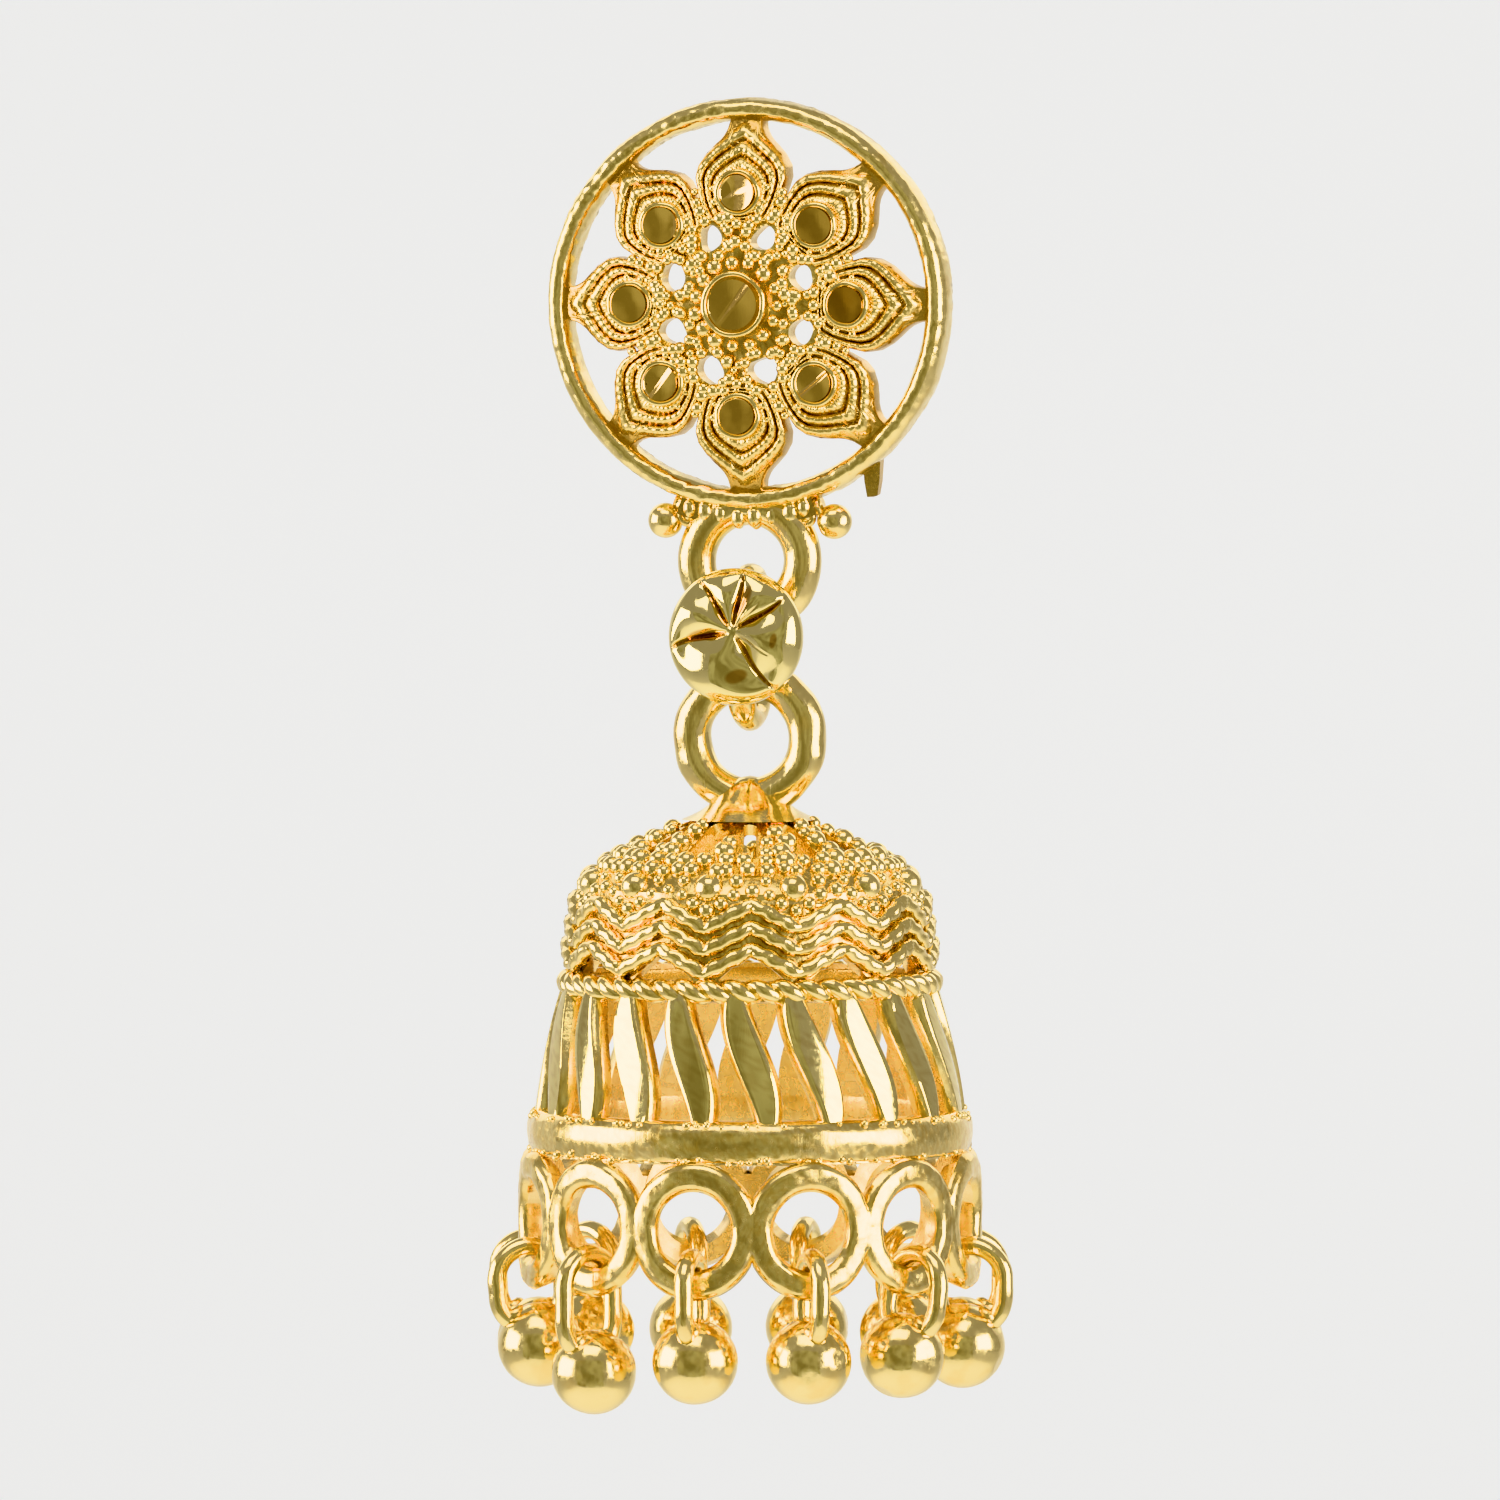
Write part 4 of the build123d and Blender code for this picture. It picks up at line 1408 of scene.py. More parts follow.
class FlowerLink(SubAssembly):
    """The oval wire ring and the dished five-petal button on its front."""

    s: LinkSizes
    body = "link"
    slot = "link_gold"

    def build(self) -> None:
        """Builds the link."""
        self.start("flower_link_metal")
        self._wire()
        self._button()
        self.done("flower_link")

    def _wire(self) -> None:
        """Adds the oval ring of wire that stands in the middle plane."""
        s = self.s
        line = oval_loop(s.arc, s.leg, 36, 16) + (HANG_Y, s.top_z)
        path = np.stack([np.zeros(len(line)), line[:, 0], line[:, 1]], axis=-1)
        points, faces = sweep(path, np.full((len(path), s.wire_sides), s.wire), True, ACROSS)
        filed = Layer(8, 1.3, 0.02)
        uneven = unevenness(points, filed) - filed.depth
        out = (points - path[:, None]) / s.wire
        self.draft.add(points + out * uneven[..., None], faces, Finish.WIRE)

    def _button(self) -> None:
        """Adds the button: its dished face with five petals, and its plain rounded back."""
        s = self.s
        share = np.sin(np.linspace(0.0, math.pi / 2, s.button_rings)) ** 0.9
        rings, turn = np.meshgrid(share, full_turn(s.button_steps), indexing="ij")
        x, z = rings * s.button_r * np.cos(turn), rings * s.button_r * np.sin(turn)
        height, crease = self.relief(x, z)
        face = np.stack([x, -(s.edge_y + np.minimum(height, s.rise_limit)), s.button_z + z], axis=-1)
        face[..., 1] += unevenness(face, Layer(9, 1.5, 0.015)) * (1.0 - rings**8)
        faces = grid_faces(s.button_rings, s.button_steps, False, True)
        # The face's colour gets the painted shade of its creases and its painted dark reflections.
        self.draft.add(face, faces, Finish.MIRROR, cavity=crease)
        side = np.array([
            (1.0, s.edge_y), (0.995, 2.72), (0.96, 2.56), (0.9, 2.46), (0.82, 2.42), (0.0, 2.42),
        ])
        back = lathe(side * (s.button_r, 1.0), (0, 0, s.button_z), "y", s.button_steps)
        self.draft.add(*back, Finish.POLISHED)

    def relief(self, x: Array, z: Array) -> tuple[Array, Array]:
        """Gives the forward height of the button's face, and the painted shade along its creases and in its
        patches of painted dark reflection.

        Args:
            x: Position across, from the button's middle.
            z: Position up, from the button's middle.

        Returns:
            Height in front of the edge, and the painted shade from 0 to 1, along the creases and fine lines
            and in the patches of painted dark reflection.
        """
        s = self.s
        r = np.hypot(x, z) / s.button_r
        pin_x, pin_z = x - s.pin[0], z - s.pin[1]
        out = np.hypot(pin_x, pin_z) / s.button_r
        turn = np.arctan2(pin_z, pin_x) % FULL + 0.1 * np.sin(3.0 * out)

        creases = np.radians(s.creases)
        bounds = np.concatenate([[creases[-1] - FULL], creases, [creases[0] + FULL]])
        petal = np.clip(np.searchsorted(bounds, turn) - 1, 0, len(bounds) - 2)
        start, stop = bounds[petal], bounds[petal + 1]
        share = np.clip((turn - start) / (stop - start), 0.0, 1.0)
        width = np.clip((stop - start) / s.widest_petal, 0.45, 1.0)
        swell = soft(ramp(out, 0.02, 0.34)) * soft(ramp(-r, -1.0, 0.34))
        valley = s.valley_depth * width * np.abs(2.0 * share - 1.0) ** 1.7 * swell

        reach = ramp(out, 0.03, 0.12) * ramp(-r, -1.0, 0.12)
        beside = out * np.minimum(turn - start, stop - turn)
        line = np.exp(-((beside / s.crease_half) ** 2)) * reach
        fine = out[..., None] * (turn[..., None] - np.radians(s.fine_lines))
        fine = np.exp(-((fine / s.fine_half) ** 2)).sum(axis=-1) * ramp(-out, -0.66, 0.2) * reach

        dome = np.clip(1.0 - r**4.2, 0.0, 1.0) ** 0.55
        pit = s.pin_depth * np.exp(-((out / s.pin_share) ** 2))
        height = dome - pit - valley - s.crease_depth * line - s.fine_depth * fine
        return height, np.clip(0.9 * line + 0.5 * fine + 0.8 * self._painted_reflections(x, z), 0.0, 1.0)

    def _painted_reflections(self, x: Array, z: Array) -> Array:
        """Gives how far each point of the button lies in one of its patches of painted dark reflection.

        Args:
            x: Position across, from the button's middle.
            z: Position up, from the button's middle.

        Returns:
            Values from 0 to 1.
        """
        painted_dark = np.zeros_like(x)
        for mid_x, mid_z, along, across, lean in BUTTON_PAINTED_REFLECTIONS:
            c, q = math.cos(math.radians(lean)), math.sin(math.radians(lean))
            u = (x - mid_x) * c + (z - mid_z) * q
            v = (z - mid_z) * c - (x - mid_x) * q
            inside = 1.0 - (u / along) ** 2 - (v / across) ** 2
            painted_dark = np.maximum(painted_dark, np.clip(2.2 * inside, 0.0, 1.0))
        return painted_dark


@dataclass(frozen=True)
class BellSizes:
    """Sizes of the bell, in millimetres; pairs go from the top to the foot."""

    ring_z: float = -15.2
    ring_r: float = 2.09
    wire: float = 0.7
    cap_r: tuple[float, float] = (1.5, 5.35)
    cap_z: tuple[float, float] = (-17.85, -19.8)
    cap_wall: tuple[float, float] = (0.22, 0.65)
    slot_r: float = 3.3
    slot_length: float = 2.1
    slot_width: float = 0.55
    slot_lip: float = 0.06
    shoulder_r: float = 5.66
    shoulder_z: float = -20.24
    shoulder_ball: float = 0.53
    belt_z: tuple[float, float] = (-20.4, -23.7)
    belt_r: tuple[float, float] = (5.95, 6.25)
    belt_mean_r: float = 6.1
    belt_wall: float = 0.45
    window: tuple[float, float, float] = (-22.4, -23.42, 1.2)
    cords: int = 3
    cord_wire: float = 0.285
    cord_z: float = -20.75
    cord_pitch: float = 0.77
    cord_drop: float = 0.84
    cord_steps: int = 16
    cord_sides: int = 12
    rope_z: float = -23.76
    rope_r: float = 6.32
    rope_wire: float = 0.25
    rope_steps: int = 690
    rope_sides: int = 10
    rope_turns: int = 23
    slats: int = 20
    slat_z: float = -26.15
    slat_half: float = 2.3
    slat_bevel: float = 0.42
    slat_bevel_power: float = 5.0
    slat_wall: float = 0.6
    hoop_z: tuple[float, float] = (-28.2, -29.72)
    hoop_crown: float = 7.86
    hoop_steps: int = 480
    skirt_z: float = -32.0
    skirt_inner: float = 7.3
    skirt_outer: float = 8.17
    skirt_ring: float = 2.42
    skirt_hole: float = 1.375
    skirt_draft: float = 0.22
    skirt_back: float = 0.2
    skirt_rays: int = 96
    skirt_rows: int = 12


# Rings of granules on the cap: distance from the axis, and the size that sets their number.
CAP_ROWS = ((2.3, 0.27), (2.8, 0.3), (3.35, 0.33), (3.95, 0.34), (4.55, 0.35), (5.12, 0.32))

# Granules of each sector: length along the belt, height, distance from the axis, radius.
SECTOR_GRANULES = (
    (0.0, -20.98, 6.0, 0.28), (-0.5, -20.74, 5.96, 0.25), (0.5, -20.74, 5.96, 0.25),
    (0.0, -21.36, 6.02, 0.17), (-0.92, -20.44, 5.86, 0.26), (0.92, -20.44, 5.86, 0.26),
    (1.55, -20.3, 5.8, 0.26), (0.95, -19.98, 5.56, 0.25), (-0.95, -19.98, 5.56, 0.25),
)

# Profiles round the bell's axis, as radius and height.
SADDLE = (
    (0.0, -16.53), (0.35, -16.58), (0.62, -16.74), (0.87, -16.97), (1.1, -17.22), (1.33, -17.46),
    (1.6, -17.68), (1.94, -17.86), (2.4, -18.06),
)
SADDLE_FOOT = ((1.7, -18.14), (0.0, -18.14))
SHOULDER = (
    (5.2, -19.72), (5.4, -19.86), (5.66, -20.1), (5.9, -20.42), (6.02, -20.75), (5.3, -20.9),
    (4.95, -20.4), (4.75, -20.25),
)
ROPE_CORE = ((5.7, -23.62), (6.3, -23.45), (6.36, -24.1), (5.9, -24.2), (5.7, -23.84))


class Bell(SubAssembly):
    """The bell: ring, saddle, cap, zigzag belt, rope, leaf slats, hoop and skirt of rings."""

    s: BellSizes
    body = "bell"
    slot = "bell_gold"
    seed = 23

    def build(self) -> None:
        """Builds all pieces of the bell."""
        self._crown()
        self._cap_granules()
        self._belt()
        self._slats()
        self._hoop()
        self._skirt()

    def around(self, radius: Array | float, turn: Array | float, z: Array | float) -> Array:
        """Gives points round the bell's axis, from their distance, direction and height."""
        radius, turn, z = np.broadcast_arrays(radius, turn, z)
        return np.stack([radius * np.cos(turn), HANG_Y + radius * np.sin(turn), z], axis=-1)

    def turned(self, profile: Sequence[Sequence[float]], steps: int,
               closed: bool = True) -> tuple[Array, Array]:
        """Turns a profile of radius and height round the bell's axis, with its faces."""
        return lathe(profile, (0, HANG_Y, 0), "z", steps, closed)

    def sectors(self, start: float, count: int = SECTORS) -> Iterable[float]:
        """Gives equally spaced directions round the bell, from a start."""
        return (start + k * FULL / count for k in range(count))

    def cap_height(self, r: Array) -> Array:
        """Gives the height of the cap's outer surface at a distance from the axis."""
        (r0, r1), (z0, z1) = self.s.cap_r, self.s.cap_z
        return z0 + (r - r0) / (r1 - r0) * (z1 - z0)

    def belt_radius(self, z: Array) -> Array:
        """Gives the radius of the belt's recessed outer surface at a height."""
        (z0, z1), (r0, r1) = self.s.belt_z, self.s.belt_r
        return r0 + (z - z0) / (z1 - z0) * (r1 - r0)

    def slat_radius(self, z: Array) -> Array:
        """Gives the radius of the slats' outer faces at a height above their middle."""
        return 7.22 - z * 0.213 - 0.11 * (z / self.s.slat_half) ** 2

    def _crown(self) -> None:
        """Builds the bell's ring, its saddle, the pierced cap and the shoulder."""
        s = self.s
        self.start("bell_crown")
        self.draft.add(*upright_ring((0.0, HANG_Y, s.ring_z), s.ring_r, s.wire, 6), Finish.WIRE)
        self._saddle()
        for turn in self.sectors(PEAKS):
            self._cap_plate(turn)
        grid, faces = self.turned(SHOULDER, 144)
        grid[..., 2] += unevenness(grid, Layer(32, 0.8, 0.03))
        # The shoulder gets some painted shade.
        self.draft.add(grid, faces, Finish.CAST, cavity=0.25)
        self.done("bell")

    def _saddle(self) -> None:
        """Adds the flared saddle between the ring and the cap, its knots rounded to one curve."""
        points, rounds = 33, 3
        knots = np.array(SADDLE)
        reach = np.concatenate([[0.0], np.cumsum(np.hypot(*np.diff(knots, axis=0).T))])
        fine = np.linspace(0.0, reach[-1], points)
        curve = np.stack([np.interp(fine, reach, knots[:, c]) for c in (0, 1)], axis=-1)
        for _ in range(rounds):
            curve[1:-1] = (curve[:-2] + 2 * curve[1:-1] + curve[2:]) / 4
        self.draft.add(*self.turned(np.vstack([curve, SADDLE_FOOT]), 96, False), Finish.GRANULE)

    def _cap_plate(self, turn: float) -> None:
        """Adds one sector of the cap, with its slot cut through.

        Args:
            turn: Direction of the slot.
        """
        s = self.s

        def slot_edge(angles: Array) -> Array:
            """Gives the edge of the slot.

            Args:
                angles: Directions from the middle of the slot.

            Returns:
                Rows of radius and turn.
            """
            half, cap = s.slot_length / 2, s.slot_width / 2
            c, q = np.cos(angles), np.sin(angles)
            radius = s.slot_r + (np.clip(c * half * 1.6, cap - half, half - cap) + cap * c)
            return np.stack([radius, cap * np.sign(q) * np.abs(q) ** 0.6 / radius], axis=-1)

        plan = around_window(slot_edge, (s.slot_r, 0.0), (*s.cap_r, -HALF_SECTOR, HALF_SECTOR), 44, 10)
        rows, columns = plan.shape[:2]
        r, t = plan[..., 0], plan[..., 1] + turn
        near = near_edge(rows, 2.0)
        front = self.around(r, t, self.cap_height(r))
        front[..., 2] += unevenness(front, Layer(31, 0.55, 0.05)) + s.slot_lip * near
        few = np.linspace(0, rows - 1, 3).astype(int)
        thin, thick = s.cap_wall
        wall = thin + (thick - thin) * (r[few] - s.cap_r[0]) / (s.cap_r[1] - s.cap_r[0])
        back = self.around(r[few] - 0.35, t[few], self.cap_height(r[few]) - wall)
        # Painted shade on the cap, away from the raised lip round the slot, and less on the back.
        darkening = np.broadcast_to(0.35 * (1 - near), r.shape)
        faces = plate_faces(rows, 3, columns, True, on_border(plan[-1, :, 0], s.cap_r))
        self.draft.add(np.vstack([front, back]), faces, Finish.CAST,
                       cavity=np.vstack([darkening, np.full((3, columns), 0.2)]))

    def _cap_granules(self) -> None:
        """Builds the granules of the cap and the belt's top, and the balls on the shoulder."""
        s = self.s
        self.start("bell_granules")
        spots: list[tuple[float, float, float]] = []
        for reach, size in CAP_ROWS:
            count = round(FULL * reach / (1.95 * size))
            beyond = abs(reach - s.slot_r) > s.slot_length / 2 + 0.15
            for j in range(count):
                turn = FULL * (j + self.rng.uniform(-0.14, 0.14)) / count
                aside = abs((turn - PEAKS + HALF_SECTOR) % (2 * HALF_SECTOR) - HALF_SECTOR) * reach
                if beyond or aside > s.slot_width / 2 + 0.7 * size:
                    spots.append((reach, turn, 1.06 * size))
        r, turn, size = np.array(spots).T
        r = r + self.rng.normal(0.0, 0.05, len(spots))
        turn = turn + self.rng.normal(0.0, 0.014, len(spots))
        size = size * self.rng.uniform(0.75, 1.2, len(spots))
        self.draft.add(*granules(self.around(r, turn, self.cap_height(r) + 0.05), size), Finish.GRANULE)

        rows = [(reach, turn + along / reach, z, size)
                for turn in self.sectors(FRONT) for along, z, reach, size in SECTOR_GRANULES]
        r, turn, z, size = np.array(rows).T
        size = size * self.rng.uniform(0.8, 1.15, len(rows))
        self.draft.add(*granules(self.around(r, turn, z), size), Finish.GRANULE)

        for turn in self.sectors(FRONT):
            ball, ball_faces = unit_ball(18, 26)
            ball = hammered(ball * s.shoulder_ball, self.rng, 4, s.shoulder_ball - 0.025)
            self.draft.add(ball + self.around(s.shoulder_r, turn, s.shoulder_z), ball_faces, Finish.POLISHED)
        self.done()

    def _belt(self) -> None:
        """Builds the windowed belt, its zigzag cords and the rope under it."""
        s = self.s
        self.start("bell_belt")
        for turn in self.sectors(PEAKS):
            self._belt_plate(turn)
        for row in range(s.cords):
            self._zigzag(row)
        for phase in (0.0, math.pi):
            self._rope_strand(phase)
        # The rope's core, under the strands, gets painted shade.
        self.draft.add(*self.turned(ROPE_CORE, 120), Finish.CAST, cavity=0.4)
        self.done()

    def _belt_plate(self, turn: float) -> None:
        """Adds one sector of the belt, with its three-cornered window cut through.

        Args:
            turn: Direction of the window.
        """
        s = self.s
        apex, sill, half = s.window
        blunt, bulge = 0.02, (apex + sill) / 2 + 0.02
        right = np.array([(half * 0.5, bulge), (half, sill + blunt), (half * 0.9, sill)])
        outline = np.vstack([[(0.0, apex)], right, right[::-1] * (-1, 1)])
        middle = (0.0, sill + 0.3)
        reach = s.belt_mean_r * HALF_SECTOR
        plan = around_window(lambda angles: ray_to_outline(outline, middle, angles), middle,
                             (-reach, reach, s.belt_z[1], s.belt_z[0]), 96, 7)
        rows, columns = plan.shape[:2]
        t, z = plan[..., 0] / s.belt_mean_r + turn, plan[..., 1]
        few = np.linspace(0, rows - 1, 3).astype(int)
        stack = np.vstack([
            self.around(self.belt_radius(z), t, z),
            self.around(self.belt_radius(z[few]) - s.belt_wall, t[few], z[few]),
        ])
        faces = plate_faces(rows, 3, columns, True, on_border(plan[-1, :, 1], s.belt_z))
        fronts = (rows - 1) * columns
        # The belt's recessed face between the cords gets strong painted shade.
        self.draft.add(stack, faces[:fronts], Finish.CAST, cavity=0.7)
        self.draft.add(stack, faces[fronts:], Finish.SATIN)

    def _zigzag(self, row: int) -> None:
        """Adds one twisted cord that zigzags round the belt.

        Args:
            row: Which cord it is, from the top.
        """
        s = self.s
        steps = 2 * SECTORS * s.cord_steps
        leg, step = np.divmod(np.arange(steps), s.cord_steps)
        share = step / s.cord_steps
        turn = FRONT + (leg + share) * HALF_SECTOR
        rise = np.where(leg % 2 == 0, share, 1.0 - share)
        z = s.cord_z - row * s.cord_pitch - s.cord_drop * (1.0 - rise)
        path = self.around(self.belt_radius(z) + 0.12 + 0.05 * row, turn, z)
        tight = 1.0 - 0.22 * np.exp(-((np.minimum(share, 1.0 - share) / 0.07) ** 2))
        twist = 2 * full_turn(s.cord_sides) + np.arange(steps)[:, None] * 1.05
        radii = s.cord_wire * tight[:, None] * (1.0 + 0.13 * np.sin(twist))
        outward = self.around(1.0, turn[0], 0.0) - self.around(0.0, turn[0], 0.0)
        self.draft.add(*sweep(path, radii, True, outward), Finish.GRANULE)

    def _rope_strand(self, phase: float) -> None:
        """Adds one of the rope's two strands.

        Args:
            phase: Where in its winding the strand starts.
        """
        s = self.s
        turn = full_turn(s.rope_steps)
        winding = s.rope_turns * turn + phase
        path = self.around(s.rope_r + 0.17 * np.cos(winding), turn, s.rope_z + 0.2 * np.sin(-winding))
        radii = np.repeat((s.rope_wire + 0.055 * np.cos(winding))[:, None], s.rope_sides, axis=1)
        self.draft.add(*sweep(path, radii, True, ACROSS), Finish.POLISHED)

    def _slats(self) -> None:
        """Builds the S-shaped leaf slats with their mirror-cut faces."""
        s = self.s
        self.start("bell_slats")
        rows, spare = 30, 0.08
        z = np.linspace(s.slat_half + spare, -s.slat_half - spare, rows)[:, None]
        quarter = math.pi * z / (2 * s.slat_half)
        line = -0.57 * np.sin(quarter)
        width = 0.425 + 0.295 * np.clip(np.cos(quarter), 0.0, 1.0) ** 0.8
        proud = 0.15 * np.cos(quarter * 0.98) - 0.012
        leaf = (np.clip(proud, 0.0, 1.0) / s.slat_bevel) ** (1 / s.slat_bevel_power) * 0.98
        across = 6
        inner, bevel = np.linspace(-1.0, 1.0, across), np.linspace(0.0, 1.0, across)[1:]
        share = np.concatenate([-(leaf + (1 - leaf) * bevel[::-1]), leaf * inner, leaf + (1 - leaf) * bevel],
                               axis=1)
        u = line + share * width
        columns = u.shape[1]
        depth = np.minimum(proud - s.slat_bevel * np.abs(share) ** s.slat_bevel_power, 0.0)
        up = np.broadcast_to(z, u.shape)
        face = self.slat_radius(up) - 0.02 + depth
        rear = self.slat_radius(up) - s.slat_wall
        crown = u**2 / 15.0
        faces, fronts = shell_faces(rows, columns), (rows - 1) * (columns - 1)
        column = np.arange(fronts) % (columns - 1)
        mirror = (column >= across - 1) & (column < 2 * across - 2)
        for turn in self.sectors(PEAKS, s.slats):
            lean = self.rng.normal(0.0, 0.02, 2)[0]
            x, y = np.cos(turn), np.sin(turn)
            stack = np.stack([
                np.stack([radial * x - u * y, HANG_Y + radial * y + u * x, up + s.slat_z], axis=-1)
                for radial in (face + lean * u * (depth > -0.001) - crown, rear - crown)
            ])
            self.draft.add(stack, faces[:fronts][mirror], Finish.MIRROR)
            self.draft.add(stack, faces[:fronts][~mirror], Finish.POLISHED)
            # The slats' sides and backs get a little painted shade.
            self.draft.add(stack, faces[fronts:], Finish.SATIN, cavity=0.2)
        self.done()

    def _hoop(self) -> None:
        """Builds the heavy half-round band, with cast grains along its edges."""
        s = self.s
        self.start("bell_hoop")
        top, foot = s.hoop_z
        rounds, edge_top, edge_foot = 17, 7.28, 7.7
        swell = np.linspace(0.0, math.pi, rounds)
        mid, half = (top + foot + 0.1) / 2, (top - foot - 0.1) / 2
        crown = np.sin(swell) ** 0.85
        radius = np.linspace(edge_top, edge_foot, rounds) * (1 - crown) + s.hoop_crown * crown
        profile = np.vstack([
            np.stack([radius, mid + half * np.cos(swell)], axis=-1),
            [(7.72, foot + 0.06), (edge_foot, foot), (7.35, foot), (7.1, foot + 0.4), (6.98, top - 0.2),
             (7.0, top)],
        ])
        grid, faces = self.turned(profile, s.hoop_steps)
        out = grid - (0.0, HANG_Y, mid)
        out[..., 2] = 0
        out /= np.linalg.norm(out, axis=-1, keepdims=True)
        edge = np.clip(np.abs(grid[..., 2] - mid) / half - 0.35, 0.0, 1.0)
        uneven = unevenness(grid, Layer(51, 3.2, 0.025), Layer(52, 1.1, 0.012)) - 0.03
        uneven = uneven + unevenness(grid, Layer(53, 0.33, 0.035, 12)) * edge
        grid = grid + out * uneven[..., None]
        outer = np.arange(len(faces)) % len(profile) < rounds
        self.draft.add(grid, faces[outer], Finish.RUBBED)
        # The hoop's inner faces get painted shade.
        self.draft.add(grid, faces[~outer], Finish.SATIN, cavity=0.3)
        for height, count, reach in ((top - 0.16, 120, 7.66), (foot + 0.12, 90, 7.68)):
            turn = self.rng.uniform(0.0, FULL, count)
            centres = self.around(reach, turn, height + self.rng.normal(0.0, 0.05, count))
            self.draft.add(*granules(centres, self.rng.uniform(0.07, 0.17, count), 6, 8), Finish.CAST)
        self.done()

    def _skirt(self) -> None:
        """Builds the skirt of rings, joined by short bars where they meet."""
        self.start("bell_skirt")
        for turn in self.sectors(FRONT):
            self._skirt_ring(turn)
            self._seam(turn + HALF_SECTOR)
        self.done()

    def _skirt_ring(self, turn: float) -> None:
        """Adds one ring of the skirt, cut off where it meets its neighbours.

        Args:
            turn: Direction of the ring's middle.
        """
        s = self.s
        phi = full_turn(s.skirt_rays)
        border = s.skirt_outer * HALF_SECTOR
        reach = np.minimum(s.skirt_ring, np.abs(border / np.cos(phi)))
        share = np.linspace(0.0, 1.0, s.skirt_rows)[:, None]

        def grid(hole: float, limit: Array, radius: Array | float) -> Array:
            """Gives rings of points from the hole to the border, laid round the bell.

            Args:
                hole: Radius of the hole.
                limit: Distance of the border.
                radius: Radius round the bell's axis.

            Returns:
                The points.
            """
            rho = hole * (1 - share) + limit * share
            aside, up = rho * np.cos(phi) / s.skirt_outer, rho * np.sin(phi)
            return self.around(radius, turn + aside, s.skirt_z + up)

        rho = s.skirt_hole * (1 - share) + reach * share
        crest, half = (s.skirt_hole + s.skirt_ring) / 2, (s.skirt_ring - s.skirt_hole) / 2
        across = np.clip(np.abs(rho - crest) / half, 0.0, 1.0)
        front = grid(s.skirt_hole, reach, s.skirt_outer - 0.03 - 0.3 * across**4.0)
        uneven = unevenness(front, Layer(61, 1.1, 0.02), Layer(62, 0.4, 0.012, 12))
        outward = (front - self.around(0.0, 0.0, front[..., 2])) / 8.0
        front = front + uneven[..., None] * outward
        back_ring = s.skirt_ring - s.skirt_back
        back = grid(s.skirt_hole + s.skirt_draft, np.minimum(reach, back_ring), s.skirt_inner)
        free = reach > back_ring + 1e-9
        faces = plate_faces(s.skirt_rows, s.skirt_rows, s.skirt_rays, True, free | np.roll(free, -1))
        stack, fronts = np.stack([front, back]), (s.skirt_rows - 1) * s.skirt_rays
        # Painted shade towards the ring's edges, by the hole and where it meets its neighbours, and some on
        # its back.
        darkening = np.clip(across - 0.6, 0.0, 1.0) * 0.9
        self.draft.add(stack, faces[:fronts], Finish.RUBBED, cavity=np.stack([darkening, darkening]))
        self.draft.add(stack, faces[fronts:], Finish.SATIN, cavity=0.25)

    def _seam(self, turn: float) -> None:
        """Adds the short bar that joins two rings of the skirt.

        Args:
            turn: Direction of the bar.
        """
        s = self.s
        side = np.array([-1.0, 1.0])
        depth, half_width, half_height = np.array([0.04, 0.5]), 0.24, 0.96
        seam = self.around(
            (s.skirt_inner + depth)[:, None, None],
            turn + side[None, :, None] * half_width / s.skirt_outer,
            s.skirt_z + side[None, None, :] * half_height,
        )
        faces = np.array([
            (0, 1, 3, 2), (4, 6, 7, 5), (0, 4, 5, 1), (2, 3, 7, 6), (0, 2, 6, 4), (1, 5, 7, 3),
        ])
        # The bars between the rings get painted shade.
        self.draft.add(seam, faces, Finish.SATIN, smooth=False, cavity=0.25)


@dataclass(frozen=True)
class DropRow:
    """How one bead drop is made and has settled: loop length and angles in degrees."""

    leg: float
    outward: float
    sideways: float
    cuts: int = 4
    cut_share: float = 0.985


# The drops from the front one, counter-clockwise as seen from above.
DROPS: tuple[DropRow, ...] = (
    DropRow(0.65, 0.0, 1.0),
    DropRow(0.65, 0.0, -1.0, 9, 0.965),
    DropRow(0.60, -1.0, -7.0, 9, 0.965),
    DropRow(0.55, -2.0, 2.0, 9, 0.965),
    DropRow(0.60, -1.0, -1.0),
    DropRow(0.65, 0.0, 2.0),
    DropRow(0.60, 1.0, -2.0, 9, 0.965),
    DropRow(0.65, 0.0, 1.0),
    DropRow(0.60, -1.0, 3.0),
    DropRow(0.60, -2.0, -1.0),
    DropRow(0.50, -3.0, 1.0),
    DropRow(1.15, 1.0, 1.0),
)


@dataclass(frozen=True)
class DropSizes:
    """Sizes shared by the bead drops, in millimetres."""

    reach: float = 8.0
    pivot_z: float = -34.08
    wire: float = 0.3
    wire_sides: int = 16
    filed: float = 0.03
    arc: float = 1.18
    ball: float = 1.5
    ball_in: float = 0.25
    overlap: float = 0.62
    collar_lean: float = 0.62
    collar_steps: int = 24


# Profile of the soldered collar where the loop's wire enters the ball, as radius and height.
COLLAR = ((0.0, 0.2), (0.3, 0.17), (0.42, 0.06), (0.44, -0.08), (0.3, -0.2), (0.0, -0.22))


